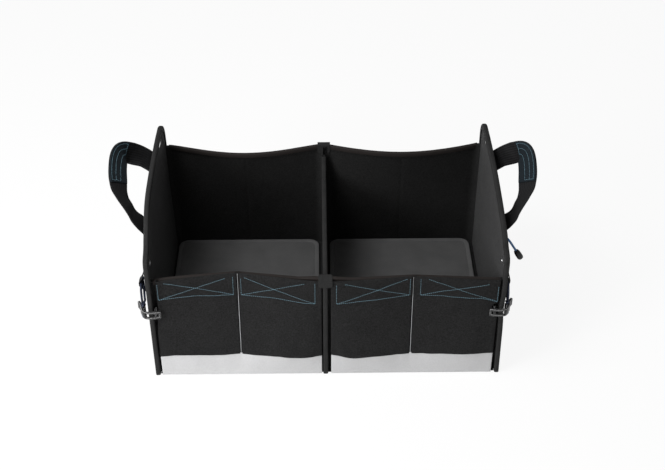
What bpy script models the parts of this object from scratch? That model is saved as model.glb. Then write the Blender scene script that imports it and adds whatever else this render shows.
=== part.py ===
"""Collapsible car storage box in black cloth over stiff boards, with two compartments.

Metres, +Z up, the front faces -Y, and the origin is the centre of the base underside.
The depth is measured from FRONT, the front edge of the side bindings, where that is clearer.
"""

import math

import bmesh
import bpy
from mathutils import Vector
from mathutils.geometry import interpolate_bezier

# The box as a whole
WIDTH = 0.610
DEPTH = 0.390
FRONT_HEIGHT = 0.218
BACK_HEIGHT = 0.238
SIDE_HEIGHT = 0.303
DIVIDER_HEIGHT = 0.183
FRONT = -DEPTH / 2
BACK = DEPTH / 2
CLEAR = 0.0003

# Boards and cloth
SIDE_BOARD = 0.005
WALL_BOARD = 0.004
DIVIDER_BOARD = 0.005
FLOOR_BOARD = 0.006
BASE_CLOTH = 0.003
BASE_SETBACK = 0.0045
FLOOR_GAP = 0.0003
POCKET_CLOTH = 0.0018
HEM_EXTRA = 0.0010

# Binding tape
SIDE_BINDING = 0.009
SIDE_BINDING_DEPTH = 0.011
TAPE = 0.0017
WALL_BINDING_DEPTH = 0.007
WALL_TAPE = 0.0010
WALL_BINDING_PLAY = 0.0007

# Side panels
SHOULDER_HEIGHT = 0.246
BACK_SHOULDER_HEIGHT = 0.260
SLOT_LENGTH = 0.046
SLOT_HEIGHT = 0.012
SLOT_FROM_BACK = 0.058
SLOT_BELOW_TOP = 0.026
SLOT_SLOPE = math.radians(-14)
EYELET_HOLE = 0.007
EYELET_FLANGE = 0.013
EYELET_FROM_FRONT = 0.036
EYELET_BELOW_TOP = 0.071

# Folds of the front and back walls
BACK_FOLD = 0.030
BACK_INSET = 0.002
LEFT_FOLD = 0.025
RIGHT_FOLD = 0.012
FOLD_AT_SEAM = 0.4

# Front pockets
POCKET_DEPTH = 0.0150
POCKET_FROM_BINDING = 0.009
POCKET_FROM_CENTRE = 0.0055
HEM = 0.042
CREASE_GAP = 0.0020
PIPING = 0.0030
SEAM_AT_SIDE = 0.048
SEAM_AT_CREASE = 0.054
SEAM_AT_BELLY = 0.043
INNER_BULGE = 0.008
OUTER_BULGE = 0.003
MOUTH_BULGE = 0.2
BULGE_LEAN = 0.8
LEFT_OUTER_EASE = 0.65
WALL_COLUMNS = 16
POCKET_SETBACK = 0.0015

# Tabs over the centre of the walls
TAB_WIDTH = 0.024
TAB_THICK = 0.002
FRONT_TAB_DROP = 0.009
BACK_TAB_DROP = 0.017
FRONT_TAB_REACH = 0.018
BACK_TAB_REACH = 0.0108
POST = 0.018
DIP_RUN = 0.022
DIP_KNEE_DROP = 0.015

# Floor boards
BOARD_PLAY = 0.004
BOARD_FROM_CENTRE = 0.008
BOARD_CORNER = 0.020

# Webbing handles
WEBBING = 0.040
WEBBING_THICK = 0.0028
HANDLE_REACH = 0.0625
HANDLE_SPACING = 0.176
HANDLE_LEAVES = 0.250
HANDLE_LIFT = 0.311
HANDLE_TAIL = 0.045
HANDLE_SEAT = 0.0008

# Elastic cords and hooks
CORD = 0.004
KNOT = 0.009
HOOK_HEIGHT = 0.015
HOOK_THICK = 0.004
HOOK_LEVEL = 0.150
HOOK_SLOT = 0.022
HOOK_SLOT_HEIGHT = 0.0062
HOOK_EYE = 0.0052
HOOK_PIVOT_OUT = 0.0090
HOOK_PIVOT_BACK = 0.008
HOOK_EYE_WALL = 0.0022
HOOK_LEG = 0.0085
# The middle line of the hook's bow and finger, as (outward, back) from the panel's front outer corner
HOOK_BOW = [
    (-0.0225, -0.0040), (-0.0120, -0.0062), (0, -0.0062), (0.0060, -0.0035), (0.0095, 0.0030),
    (0.0115, 0.0110), (0.0145, 0.0180), (0.0185, 0.0240),
]
LOOP_WIDTH = 0.012
LOOP_FROM_FRONT = 0.0115
LOOP_TOP = 0.246
LOOP_BOTTOM = 0.183
LOOP_TIP = 0.009
LOOP_TIP_DROP = 0.010
LOOP_REACH = {"left": 0.0135, "right": 0.0100}
CORD_END = 0.011
CORD_END_LENGTH = 0.020

SIDE_X = WIDTH / 2 - SIDE_BINDING / 2
PANEL_INNER = SIDE_X - SIDE_BOARD / 2
PANEL_OUTER = SIDE_X + SIDE_BOARD / 2
PANEL_EDGE = TAPE + CLEAR
YZ_PLANE = (math.pi / 2, 0, math.pi / 2)
XZ_PLANE = (math.pi / 2, 0, 0)

BLACK_CLOTH = ("black_cloth", (0.020, 0.020, 0.021), 0.85, 0)
INNER_CLOTH = ("inner_cloth", (0.012, 0.012, 0.012), 0.80, 0)
GREY_CLOTH = ("grey_cloth", (0.62, 0.62, 0.63), 0.60, 0)
BINDING_TAPE = ("binding_tape", (0.028, 0.028, 0.028), 0.75, 0)
BOARD_FELT = ("board_felt", (0.050, 0.050, 0.052), 0.90, 0)
WEB = ("handle_webbing", (0.022, 0.022, 0.023), 0.70, 0)
PIPE = ("reflective_piping", (0.45, 0.46, 0.47), 0.40, 0)
BLUE_CORD = ("elastic_cord", (0.08, 0.20, 0.45), 0.60, 0)
PLASTIC = ("dark_plastic", (0.035, 0.035, 0.036), 0.35, 0)
METAL = ("eyelet_metal", (0.55, 0.55, 0.56), 0.35, 1)


def clear_scene():
    for obj in list(bpy.data.objects):
        bpy.data.objects.remove(obj)


def collection(name):
    made = bpy.data.collections.new(name)
    bpy.context.scene.collection.children.link(made)
    return made


def finish(name, colour, roughness, metallic):
    material = bpy.data.materials.get(name)
    if material is None:
        material = bpy.data.materials.new(name)
        material.use_nodes = True
        shader = material.node_tree.nodes["Principled BSDF"]
        shader.inputs["Base Color"].default_value = (*colour, 1)
        shader.inputs["Roughness"].default_value = roughness
        shader.inputs["Metallic"].default_value = metallic
    return material


def place(name, data, look, location=(0, 0, 0), rotation=(0, 0, 0), group=None):
    obj = bpy.data.objects.new(name, data)
    (group or PARTS).objects.link(obj)
    obj.location = location
    obj.rotation_euler = rotation
    if look:
        data.materials.append(finish(*look))
    if group is CUTTERS:
        obj.hide_render = True
        obj.display_type = "WIRE"
    return obj


def poly_spline(curve, points, closed=True):
    spline = curve.splines.new("POLY")
    spline.points.add(len(points) - 1)
    for target, point in zip(spline.points, points):
        target.co = (*Vector(point).to_3d(), 1)
    spline.use_cyclic_u = closed
    return spline


def flat_shape(name, outlines, thick, look, location, rotation, group=None):
    """A flat piece: closed outlines in its own XY plane, any after the first being holes."""
    curve = bpy.data.curves.new(name, "CURVE")
    curve.dimensions = "2D"
    curve.fill_mode = "BOTH"
    curve.extrude = thick / 2
    for outline in outlines:
        poly_spline(curve, outline)
    return place(name, curve, look, location, rotation, group)


def as_mesh(obj):
    """Turns a curve object into a mesh object with welded caps, so that it can be cut."""
    bpy.context.view_layer.update()
    graph = bpy.context.evaluated_depsgraph_get()
    mesh = bpy.data.meshes.new_from_object(obj.evaluated_get(graph))
    bm = bmesh.new()
    bm.from_mesh(mesh)
    bmesh.ops.remove_doubles(bm, verts=bm.verts, dist=1e-6)
    bmesh.ops.recalc_face_normals(bm, faces=bm.faces)
    bm.to_mesh(mesh)
    bm.free()
    name = obj.name
    group = obj.users_collection[0]
    hidden = obj.hide_render
    matrix = obj.matrix_world.copy()
    bpy.data.objects.remove(obj)
    solid = bpy.data.objects.new(name, mesh)
    group.objects.link(solid)
    solid.matrix_world = matrix
    solid.hide_render = hidden
    solid.display_type = "WIRE" if hidden else "TEXTURED"
    return solid


def just_added(name, group):
    """Names the primitive that was just added and moves it to its group; one among the cutters is hidden."""
    obj = bpy.context.object
    obj.name = name
    for other in obj.users_collection:
        other.objects.unlink(obj)
    group.objects.link(obj)
    if group is CUTTERS:
        obj.hide_render = True
        obj.display_type = "WIRE"
    return obj


def box_cutter(name, low, high):
    bpy.ops.mesh.primitive_cube_add(size=1)
    obj = just_added(name, CUTTERS)
    for vertex in obj.data.vertices:
        vertex.co = [a + (c + 0.5) * (b - a) for a, b, c in zip(low, high, vertex.co)]
    return obj


def boolean(obj, other, operation):
    modifier = obj.modifiers.new(operation.lower(), "BOOLEAN")
    modifier.operation = operation
    modifier.object = other
    modifier.solver = "EXACT"


def slab(name, surface, columns, rows, look):
    """Cloth or board over a grid: surface(u, v, w) has w 0 on the front face and 1 on the back one."""
    bm = bmesh.new()
    bmesh.ops.create_grid(bm, x_segments=columns, y_segments=rows, size=0.5)
    front = list(bm.verts)
    made = bmesh.ops.extrude_face_region(bm, geom=list(bm.faces), use_keep_orig=True)
    back = [item for item in made["geom"] if isinstance(item, bmesh.types.BMVert)]
    for side, vertices in enumerate((front, back)):
        for vertex in vertices:
            vertex.co = surface(vertex.co.x + 0.5, vertex.co.y + 0.5, side)
    bmesh.ops.recalc_face_normals(bm, faces=bm.faces)
    mesh = bpy.data.meshes.new(name)
    bm.to_mesh(mesh)
    bm.free()
    mesh.shade_smooth()
    mesh.set_sharp_from_angle(angle=math.radians(40))
    return place(name, mesh, look)


def tube(name, points, diameter, look, sides=2):
    curve = bpy.data.curves.new(name, "CURVE")
    curve.dimensions = "3D"
    curve.bevel_depth = diameter / 2
    curve.bevel_resolution = sides
    curve.use_fill_caps = True
    poly_spline(curve, points, closed=False)
    return place(name, curve, look)


def channel(width, slot, tape, depth):
    """Section of a folded tape that covers an edge: x across the tape, y up from the edge."""
    half = width / 2
    soft = tape * 0.8
    outer = [(half, -depth), (half, tape - soft), (half - soft, tape)]
    right = outer + [(0, tape)]
    left = [(-x, y) for x, y in reversed(outer)]
    inner = [(-slot / 2, -depth), (-slot / 2, CLEAR), (slot / 2, CLEAR), (slot / 2, -depth)]
    return right + left + inner


def tape_along(name, path, section, look, location, rotation=(0, 0, 0)):
    """Folded tape along a flat path. The section's x lies across the path in its plane, its y rises from it."""
    guide = bpy.data.curves.new(name + "_section", "CURVE")
    guide.dimensions = "2D"
    guide.fill_mode = "NONE"
    poly_spline(guide, section)
    profile = place(name + "_section", guide, None, group=CUTTERS)
    run = bpy.data.curves.new(name, "CURVE")
    run.dimensions = "2D"
    run.fill_mode = "NONE"
    run.bevel_mode = "OBJECT"
    run.bevel_object = profile
    run.use_fill_caps = True
    poly_spline(run, path, closed=False)
    return as_mesh(place(name, run, look, location, rotation))


def smooth_path(points, parts):
    """Points along a smooth curve through the given ones, parts of them to each span."""
    points = [Vector(p) for p in points]
    found = []
    for i in range(len(points) - 1):
        before = points[max(i - 1, 0)]
        after = points[min(i + 2, len(points) - 1)]
        start = points[i] + (points[i + 1] - before) / 6
        end = points[i + 1] - (after - points[i]) / 6
        found += interpolate_bezier(points[i], start, end, points[i + 1], parts + 1)[:-1]
    return found + [points[-1]]


def arched_edge(inset):
    """The side panel's edge from the front foot over the arch to the back foot, as (y, z)."""
    top = SIDE_HEIGHT
    knots = [
        ((FRONT, SHOULDER_HEIGHT), (0, 0.024), (0, 0.024)),
        ((FRONT + 0.036, top - 0.030), (-0.016, -0.010), (0.030, 0.0165)),
        ((FRONT + 0.245, top), (-0.090, 0), (0.050, 0)),
        ((BACK - 0.036, top - 0.0045), (-0.022, 0.002), (0.018, -0.0030)),
        ((BACK, BACK_SHOULDER_HEIGHT), (0, 0.024), (0, -0.024)),
    ]
    edge = [Vector((FRONT, 0))]
    for (a, _, leave), (b, arrive, _) in zip(knots, knots[1:]):
        a, b = Vector(a), Vector(b)
        arc = interpolate_bezier(a, a + Vector(leave), b + Vector(arrive), b, 10)
        edge += [Vector(p[:2]) for p in arc[:-1]]
    edge += [Vector((BACK, BACK_SHOULDER_HEIGHT)), Vector((BACK, 0))]
    moved = []
    for i, point in enumerate(edge):
        along = edge[min(i + 1, len(edge) - 1)] - edge[max(i - 1, 0)]
        inward = Vector((along.y, -along.x)).normalized()
        moved.append(point + inward * inset)
    moved[0].y = moved[-1].y = 0
    return moved


def stadium(centre, length, height, slope, steps=6):
    """A slot's outline with round ends."""
    half = (length - height) / 2
    turn = [math.pi * k / steps - math.pi / 2 for k in range(steps + 1)]
    right = [(half + height / 2 * math.cos(a), height / 2 * math.sin(a)) for a in turn]
    ring = right + [(-x, -y) for x, y in right]
    c, s = math.cos(slope), math.sin(slope)
    return [(centre[0] + x * c - y * s, centre[1] + x * s + y * c) for x, y in ring]


def circle(centre, diameter, steps=16):
    ring = [2 * math.pi * k / steps for k in range(steps)]
    return [(centre[0] + diameter / 2 * math.cos(a), centre[1] + diameter / 2 * math.sin(a)) for a in ring]


def side_panels():
    slot_at = (BACK - SLOT_FROM_BACK, SIDE_HEIGHT - SLOT_BELOW_TOP)
    eye_at = (FRONT + EYELET_FROM_FRONT, SIDE_HEIGHT - EYELET_BELOW_TOP)
    for side, sign in SIDES:
        outline = arched_edge(PANEL_EDGE)
        holes = [
            stadium(slot_at, SLOT_LENGTH, SLOT_HEIGHT, SLOT_SLOPE),
            circle(eye_at, EYELET_HOLE + 2 * CLEAR),
        ]
        centre = (sign * SIDE_X, 0, 0)
        flat_shape(side + "_side_panel", [outline] + holes, SIDE_BOARD, BLACK_CLOTH, centre, YZ_PLANE)
        section = channel(SIDE_BINDING, SIDE_BOARD + 2 * CLEAR, TAPE, SIDE_BINDING_DEPTH - TAPE)
        across = [(-y, x) for x, y in section]
        tape_along(side + "_side_binding", arched_edge(PANEL_EDGE), across, BINDING_TAPE, centre, YZ_PLANE)
        eyelet(side, sign, eye_at)


def eyelet(side, sign, centre):
    """A pressed ring through the side panel, with a flange on each face."""
    lip = 0.0008
    reach = SIDE_BOARD / 2 + CLEAR
    bore = EYELET_HOLE / 2 - lip
    barrel = EYELET_HOLE / 2
    flange = EYELET_FLANGE / 2
    profile = [(bore, -reach - lip), (bore, reach + lip), (flange, reach + lip), (flange, reach)]
    profile += [(barrel, reach), (barrel, -reach), (flange, -reach), (flange, -reach - lip)]
    steps = 20
    bm = bmesh.new()
    ring = [bm.verts.new((r, 0, h)) for r, h in profile]
    edges = [bm.edges.new(pair) for pair in zip(ring, ring[1:] + ring[:1])]
    bmesh.ops.spin(bm, geom=ring + edges, axis=(0, 0, 1), angle=2 * math.pi, steps=steps, use_merge=True)
    bmesh.ops.recalc_face_normals(bm, faces=bm.faces)
    mesh = bpy.data.meshes.new(side + "_eyelet")
    bm.to_mesh(mesh)
    bm.free()
    mesh.shade_smooth()
    mesh.set_sharp_from_angle(angle=math.radians(40))
    place(side + "_eyelet", mesh, METAL, (sign * SIDE_X, *centre), (0, math.pi / 2, 0))


def half_span(sign):
    """Where the front wall of each half starts and ends along X, behind the bindings, and its crease."""
    inner = DIVIDER_BOARD / 2 + CLEAR
    outer = PANEL_INNER - CLEAR
    return sign * inner, sign * outer, sign * (inner + outer) / 2


def back_span(sign):
    """The same for the back wall, which fits between the bindings."""
    inner = SIDE_BINDING / 2 + CLEAR
    outer = SIDE_X - SIDE_BINDING / 2 - CLEAR
    return sign * inner, sign * outer, sign * (inner + outer) / 2


def bow(t):
    """0 at both ends of a half wall and 1 at its crease, with a soft peak."""
    return math.sin(math.pi * t) ** 1.15 if 0 < t < 1 else 0.0


def front_board_y(sign, x, z):
    """Front face of the front wall's board."""
    inner, outer, crease = half_span(sign)
    near = max(1 - abs(x - crease) / abs(outer - crease), 0)
    if sign < 0 and abs(x) > abs(crease):
        first = 2 / WALL_COLUMNS
        near = max(near, first) ** LEFT_OUTER_EASE * min(near / first, 1)
    fold = fold_of(sign) + POCKET_SETBACK + POCKET_CLOTH + HEM_EXTRA + WALL_TAPE + WALL_BINDING_PLAY
    return FRONT + POCKET_DEPTH + max(fold - POCKET_DEPTH, 0) * near * z / FRONT_HEIGHT


def back_board_y(sign, x, z):
    """Back face of the back wall's board."""
    inner, outer, crease = back_span(sign)
    return BACK - BACK_INSET - BACK_FOLD * bow((x - inner) / (outer - inner)) * z / BACK_HEIGHT


def walls():
    low = BASE_CLOTH + CLEAR
    for side, sign in SIDES:
        inner, outer, _ = half_span(sign)
        back_inner, back_outer, _ = back_span(sign)

        def front(u, v, w):
            x = inner + (outer - inner) * u
            z = low + (FRONT_HEIGHT - WALL_TAPE - CLEAR - low) * v
            return (x, front_board_y(sign, x, z) + WALL_BOARD * w, z)

        def back(u, v, w):
            x = back_inner + (back_outer - back_inner) * u
            z = low + (BACK_HEIGHT - WALL_TAPE - CLEAR - low) * v
            return (x, back_board_y(sign, x, z) - WALL_BOARD * w, z)

        slab("front_wall_" + side, front, WALL_COLUMNS, 4, INNER_CLOTH)
        slab("back_wall_" + side, back, 24, 4, BLACK_CLOTH)
        wall_binding("front_wall_binding_" + side, front, 12)
        wall_binding("back_wall_binding_" + side, back, 24)


def wall_binding(name, wall, steps):
    """Narrow folded tape over the top edge of one half wall."""
    margin = 0.02
    spans = [margin + (1 - 2 * margin) * k / steps for k in range(steps + 1)]
    top = wall(0, 1, 0)[2]
    middle = 1 - WALL_BINDING_DEPTH / 2 / top
    path = [wall(u, middle, 0.5)[:2] for u in spans]
    slot = WALL_BOARD + 2 * WALL_BINDING_PLAY
    section = channel(slot + 2 * WALL_TAPE, slot, WALL_TAPE, WALL_BINDING_DEPTH - WALL_TAPE)
    tape_along(name, path, section, BINDING_TAPE, (0, 0, top))


def fold_of(sign):
    return LEFT_FOLD if sign < 0 else RIGHT_FOLD


def pocket_ends(sign, outer):
    """Where a pocket's cloth turns its front corner, and where it meets the crease."""
    crease = half_span(sign)[2]
    if outer:
        corner = sign * (SIDE_X - SIDE_BINDING / 2 - POCKET_FROM_BINDING)
        return corner, crease + sign * CREASE_GAP
    return sign * (SIDE_BINDING / 2 + POCKET_FROM_CENTRE), crease - sign * CREASE_GAP


def pocket_front_y(sign, outer, s, z):
    """Front face of the pocket cloth, s from 0 at its corner to 1 at the crease."""
    ease = LEFT_OUTER_EASE if sign < 0 and outer else 1
    above = (z - SEAM_AT_CREASE) / (FRONT_HEIGHT - SEAM_AT_CREASE)
    if above < 0:
        depth = FOLD_AT_SEAM * z / SEAM_AT_CREASE
        belly = z / SEAM_AT_CREASE
    else:
        depth = FOLD_AT_SEAM + (1 - FOLD_AT_SEAM) * above
        belly = 1 - above * (1 - MOUTH_BULGE)
    bulge = (OUTER_BULGE if outer else INNER_BULGE) * math.sin(math.pi * s**BULGE_LEAN)
    return FRONT + POCKET_SETBACK + fold_of(sign) * depth * s**ease - bulge * belly


def seam_z(outer, s):
    """Height of the seam between the black cloth and the grey band."""
    if outer:
        return SEAM_AT_SIDE + (SEAM_AT_CREASE - SEAM_AT_SIDE) * s
    rise = max(s - 0.3, 0) / 0.7
    return SEAM_AT_BELLY + (SEAM_AT_CREASE - SEAM_AT_BELLY) * rise * rise * (3 - 2 * rise)


def gusset_stops(sign, corner, z):
    """Depths along a gusset, from its front corner back to the wall's board."""
    board = front_board_y(sign, corner, z) - CLEAR
    if z > FRONT_HEIGHT - WALL_BINDING_DEPTH:
        board -= WALL_TAPE + WALL_BINDING_PLAY + CLEAR
    edge = FRONT + BASE_SETBACK
    return [edge - 2 * CLEAR, edge - CLEAR, board]


def pocket(number, sign, outer):
    """Black cloth from the grey band's seam up to a folded hem, open at the top."""
    corner, crease = pocket_ends(sign, outer)
    inward = 1 if crease > corner else -1
    fronts = 14
    sides = 2
    hem_z = FRONT_HEIGHT - HEM
    top = FRONT_HEIGHT - WALL_TAPE

    def surface(u, v, w):
        column = round(u * (fronts + sides))
        s = max(column - sides, 0) / fronts
        low = seam_z(outer, s) + CLEAR
        z = [low, (2 * low + hem_z) / 3, (low + 2 * hem_z) / 3, hem_z - HEM_EXTRA, hem_z, top][round(v * 5)]
        hem = HEM_EXTRA if z >= hem_z else 0
        if column >= sides:
            x = corner + (crease - corner) * s
            y = pocket_front_y(sign, outer, s, z) + (POCKET_CLOTH if w else -hem)
            return (x + (inward * POCKET_CLOTH if w and column == sides else 0), y, z)
        stops = gusset_stops(sign, corner, z)
        return (corner + inward * POCKET_CLOTH * w, stops[2 - column], z)

    slab(f"front_pocket_{number}", surface, fronts + sides, 5, BLACK_CLOTH)


def front_band(side, sign):
    """Grey cloth under both pockets of one half, turned back to the board at its ends."""
    fronts = 12
    sides = 3
    columns = 2 * (fronts + sides)
    foot = BASE_CLOTH + CLEAR

    def surface(u, v, w):
        column = round(u * columns)
        outer = column > columns // 2
        step = columns - column if outer else column
        corner, crease = pocket_ends(sign, outer)
        middle = half_span(sign)[2]
        inward = 1 if crease > corner else -1
        s = max(step - sides, 0) / fronts
        high = seam_z(outer, s)
        if step >= sides:
            z = FLOOR_GAP + (high - FLOOR_GAP) * v
            x = corner + (middle - corner) * s
            y = pocket_front_y(sign, outer, s, z) + POCKET_CLOTH * w
            return (x + (inward * POCKET_CLOTH if w and step == sides else 0), y, z)
        low = foot if step < 2 else FLOOR_GAP
        z = low + (high - low) * v
        return (corner + inward * POCKET_CLOTH * w, gusset_stops(sign, corner, z)[2 - step], z)

    slab("front_band_" + side, surface, columns, 4, GREY_CLOTH)


def crease_piping(side, sign):
    crease = half_span(sign)[2]
    points = []
    for z in (SEAM_AT_CREASE + PIPING / 2, (SEAM_AT_CREASE + FRONT_HEIGHT) / 2, FRONT_HEIGHT - PIPING):
        points.append((crease, pocket_front_y(sign, False, 1, z) + PIPING / 2 - HEM_EXTRA, z))
    tube("crease_piping_" + side, points, PIPING, PIPE)


def base_and_floor():
    """The cloth base that everything stands on, and the two stiff boards laid in."""
    side = PANEL_INNER - CLEAR
    between = SIDE_X - SIDE_BINDING / 2 - CLEAR
    post = SIDE_BINDING / 2 + CLEAR
    end = DEPTH / 2 - BASE_SETBACK
    tape_end = DEPTH / 2 - SIDE_BINDING_DEPTH - CLEAR
    quarter = [(side, 0), (side, tape_end), (between, tape_end), (between, end), (post, end), (post, tape_end)]
    half = quarter + [(-x, y) for x, y in reversed(quarter)]
    outline = half + [(-x, -y) for x, y in half[1:-1]]
    flat_shape("base_cloth", [outline], BASE_CLOTH, BLACK_CLOTH, (0, 0, BASE_CLOTH / 2), (0, 0, 0))
    near = FRONT + POCKET_DEPTH + WALL_BOARD + BOARD_PLAY
    far = BACK - BACK_INSET - WALL_BOARD - BOARD_PLAY / 2
    level = BASE_CLOTH + CLEAR + FLOOR_BOARD / 2
    for side, sign in SIDES:
        low, high = sorted((sign * (DIVIDER_BOARD / 2 + BOARD_FROM_CENTRE), sign * (PANEL_INNER - BOARD_PLAY)))
        board = rounded_rectangle(low, near, high, far, BOARD_CORNER)
        flat_shape("floor_board_" + side, [board], FLOOR_BOARD, BOARD_FELT, (0, 0, level), (0, 0, 0))


def rounded_rectangle(x0, y0, x1, y1, radius, steps=5):
    corners = [(x1, y0, -1), (x1, y1, 0), (x0, y1, 1), (x0, y0, 2)]
    points = []
    for x, y, quarter in corners:
        cx = x - radius if x == x1 else x + radius
        cy = y - radius if y == y1 else y + radius
        for k in range(steps + 1):
            angle = math.pi / 2 * (quarter + k / steps)
            points.append((cx + radius * math.cos(angle), cy + radius * math.sin(angle)))
    return points


def divider():
    """The centre board with its tapes, and the tabs that join it to the walls."""
    front = FRONT + PANEL_EDGE
    back = BACK - PANEL_EDGE
    foot = BASE_CLOTH + CLEAR
    front_top = FRONT_HEIGHT - WALL_TAPE
    back_top = BACK_HEIGHT - BACK_TAB_DROP - TAPE
    knee = DIP_RUN / 3
    dip_front = smooth_path(
        [(front + POST, front_top), (front + POST + knee, front_top - DIP_KNEE_DROP), (front + POST + DIP_RUN, DIVIDER_HEIGHT)], 4)
    dip_back = smooth_path(
        [(back - POST - DIP_RUN, DIVIDER_HEIGHT), (back - POST - knee, back_top - DIP_KNEE_DROP), (back - POST, back_top)], 4)
    outline = [(front, foot), (front, front_top)] + dip_front + dip_back
    outline += [(back, back_top), (back, foot)]
    flat_shape("centre_divider", [outline], DIVIDER_BOARD, INNER_CLOTH, (0, 0, 0), YZ_PLANE)
    section = channel(SIDE_BINDING, DIVIDER_BOARD + 2 * CLEAR, TAPE, SIDE_BINDING_DEPTH - TAPE)
    across = [(-y, x) for x, y in section]
    runs = {
        "divider_front_binding": [(front, FLOOR_GAP), (front, front_top)],
        "divider_top_binding": [(dip_front[-1][0] + CLEAR, DIVIDER_HEIGHT), (dip_back[0][0] - CLEAR, DIVIDER_HEIGHT)],
        "divider_back_binding": [(back, back_top), (back, FLOOR_GAP)],
    }
    for name, path in runs.items():
        tape_along(name, path, across, BINDING_TAPE, (0, 0, 0), YZ_PLANE)
    for y0, y1, height, drop, name in (
        (FRONT, FRONT + FRONT_TAB_REACH, FRONT_HEIGHT, FRONT_TAB_DROP, "front_centre_tab"),
        (BACK, BACK - BACK_TAB_REACH, BACK_HEIGHT, BACK_TAB_DROP, "back_centre_tab"),
    ):
        out = -1 if y0 < y1 else 1
        near = y0 + out * CLEAR
        far = y1
        roof = height + CLEAR
        strip = [(near, height - drop), (near, roof), (far, roof)]
        over = [(far, roof + TAB_THICK), (near + out * TAB_THICK, roof + TAB_THICK)]
        over.append((near + out * TAB_THICK, height - drop))
        if y0 > y1:
            strip.append((far, height - drop))
            over = [(far - TAB_THICK, height - drop), (far - TAB_THICK, roof + TAB_THICK)] + over[1:]
        flat_shape(name, [strip + over], TAB_WIDTH, BINDING_TAPE, (0, 0, 0), YZ_PLANE)


def handle_path(sign, parts):
    """The strap's middle line and the directions across its webbing, from the back tail to the front one.

    Both tails run up the outer face of the side panel; between them the strap bows outward and twists
    over. Each knot has the reach out of the panel, the place along it, the height, and the direction
    from the strap's inner edge to its outer edge as (outward, back, up).
    """
    skin = HANDLE_SEAT + WEBBING_THICK / 2
    tail = HANDLE_SPACING / 2
    reach = HANDLE_REACH
    rise = HANDLE_LIFT - HANDLE_LEAVES
    knots = [
        (skin, tail, -HANDLE_TAIL, (0, 1, 0)),
        (skin, tail, 0, (0, 1, 0)),
        (skin + 0.07 * reach, tail * 0.98, 0.26 * rise, (-0.05, 0.98, 0.10)),
        (0.36 * reach, tail * 0.90, 0.62 * rise, (-0.25, 0.87, 0.42)),
        (0.65 * reach, tail * 0.84, 0.84 * rise, (-0.25, 0.75, 0.60)),
        (0.91 * reach, tail * 0.70, 0.97 * rise, (0.15, 0.45, 0.85)),
        (1.00 * reach, tail * 0.38, 1.01 * rise, (0.50, 0.15, 0.82)),
        (0.98 * reach, 0, rise, (0.62, 0, 0.78)),
        (0.90 * reach, -tail * 0.36, 0.92 * rise, (0.64, -0.25, 0.70)),
        (0.77 * reach, -tail * 0.61, 0.82 * rise, (0.52, -0.52, 0.65)),
        (0.58 * reach, -tail * 0.81, 0.66 * rise, (0.30, -0.80, 0.50)),
        (0.36 * reach, -tail * 0.92, 0.48 * rise, (0.15, -0.95, 0.25)),
        (skin + 0.07 * reach, -tail * 0.99, 0.22 * rise, (0.03, -1, 0.02)),
        (skin, -tail, 0, (0, -1, 0)),
        (skin, -tail, -HANDLE_TAIL, (0, -1, 0)),
    ]
    middle = [(sign * (PANEL_OUTER + x), y, HANDLE_LEAVES + z) for x, y, z, _ in knots]
    across = [(sign * w[0], w[1], w[2]) for *_, w in knots]
    return smooth_path(middle, parts), smooth_path(across, parts)


def handle(side, sign):
    """A webbing strap sewn to the side panel by its two tails."""
    middle, across = handle_path(sign, 3)
    last = len(middle) - 1

    def surface(u, v, w):
        k = round(u * last)
        along = (middle[min(k + 1, last)] - middle[max(k - 1, 0)]).normalized()
        wide = (across[k] - along * across[k].dot(along)).normalized()
        face = along.cross(wide)
        return middle[k] + wide * WEBBING * (v - 0.5) + face * WEBBING_THICK * (w - 0.5)

    slab(side + "_handle", surface, last, 4, WEB)


def anchor_loop(side, sign):
    """Webbing folded into a loop and sewn to the side panel; the hook's cord goes through it."""
    reach = LOOP_REACH[side]
    tip = (LOOP_TOP + LOOP_BOTTOM) / 2 - LOOP_TIP_DROP
    flat = LOOP_TIP / 2
    wall = TAPE
    outer = [(0, LOOP_TOP), (wall, LOOP_TOP), (reach, tip + flat), (reach, tip - flat), (wall, LOOP_BOTTOM), (0, LOOP_BOTTOM)]
    hollow = [(wall, LOOP_TOP - 4 * wall), (reach - wall, tip + flat - wall / 2)]
    hollow += [(reach - wall, tip - flat + wall / 2), (wall, LOOP_BOTTOM + 4 * wall)]
    start = PANEL_OUTER + CLEAR
    outlines = [[(sign * (start + x), z) for x, z in ring] for ring in (outer, hollow)]
    y = FRONT + LOOP_FROM_FRONT + LOOP_WIDTH / 2
    flat_shape(side + "_anchor_loop", outlines, LOOP_WIDTH, WEB, (0, y, 0), XZ_PLANE)
    return start + reach - wall - CLEAR - CORD / 2, tip


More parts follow.
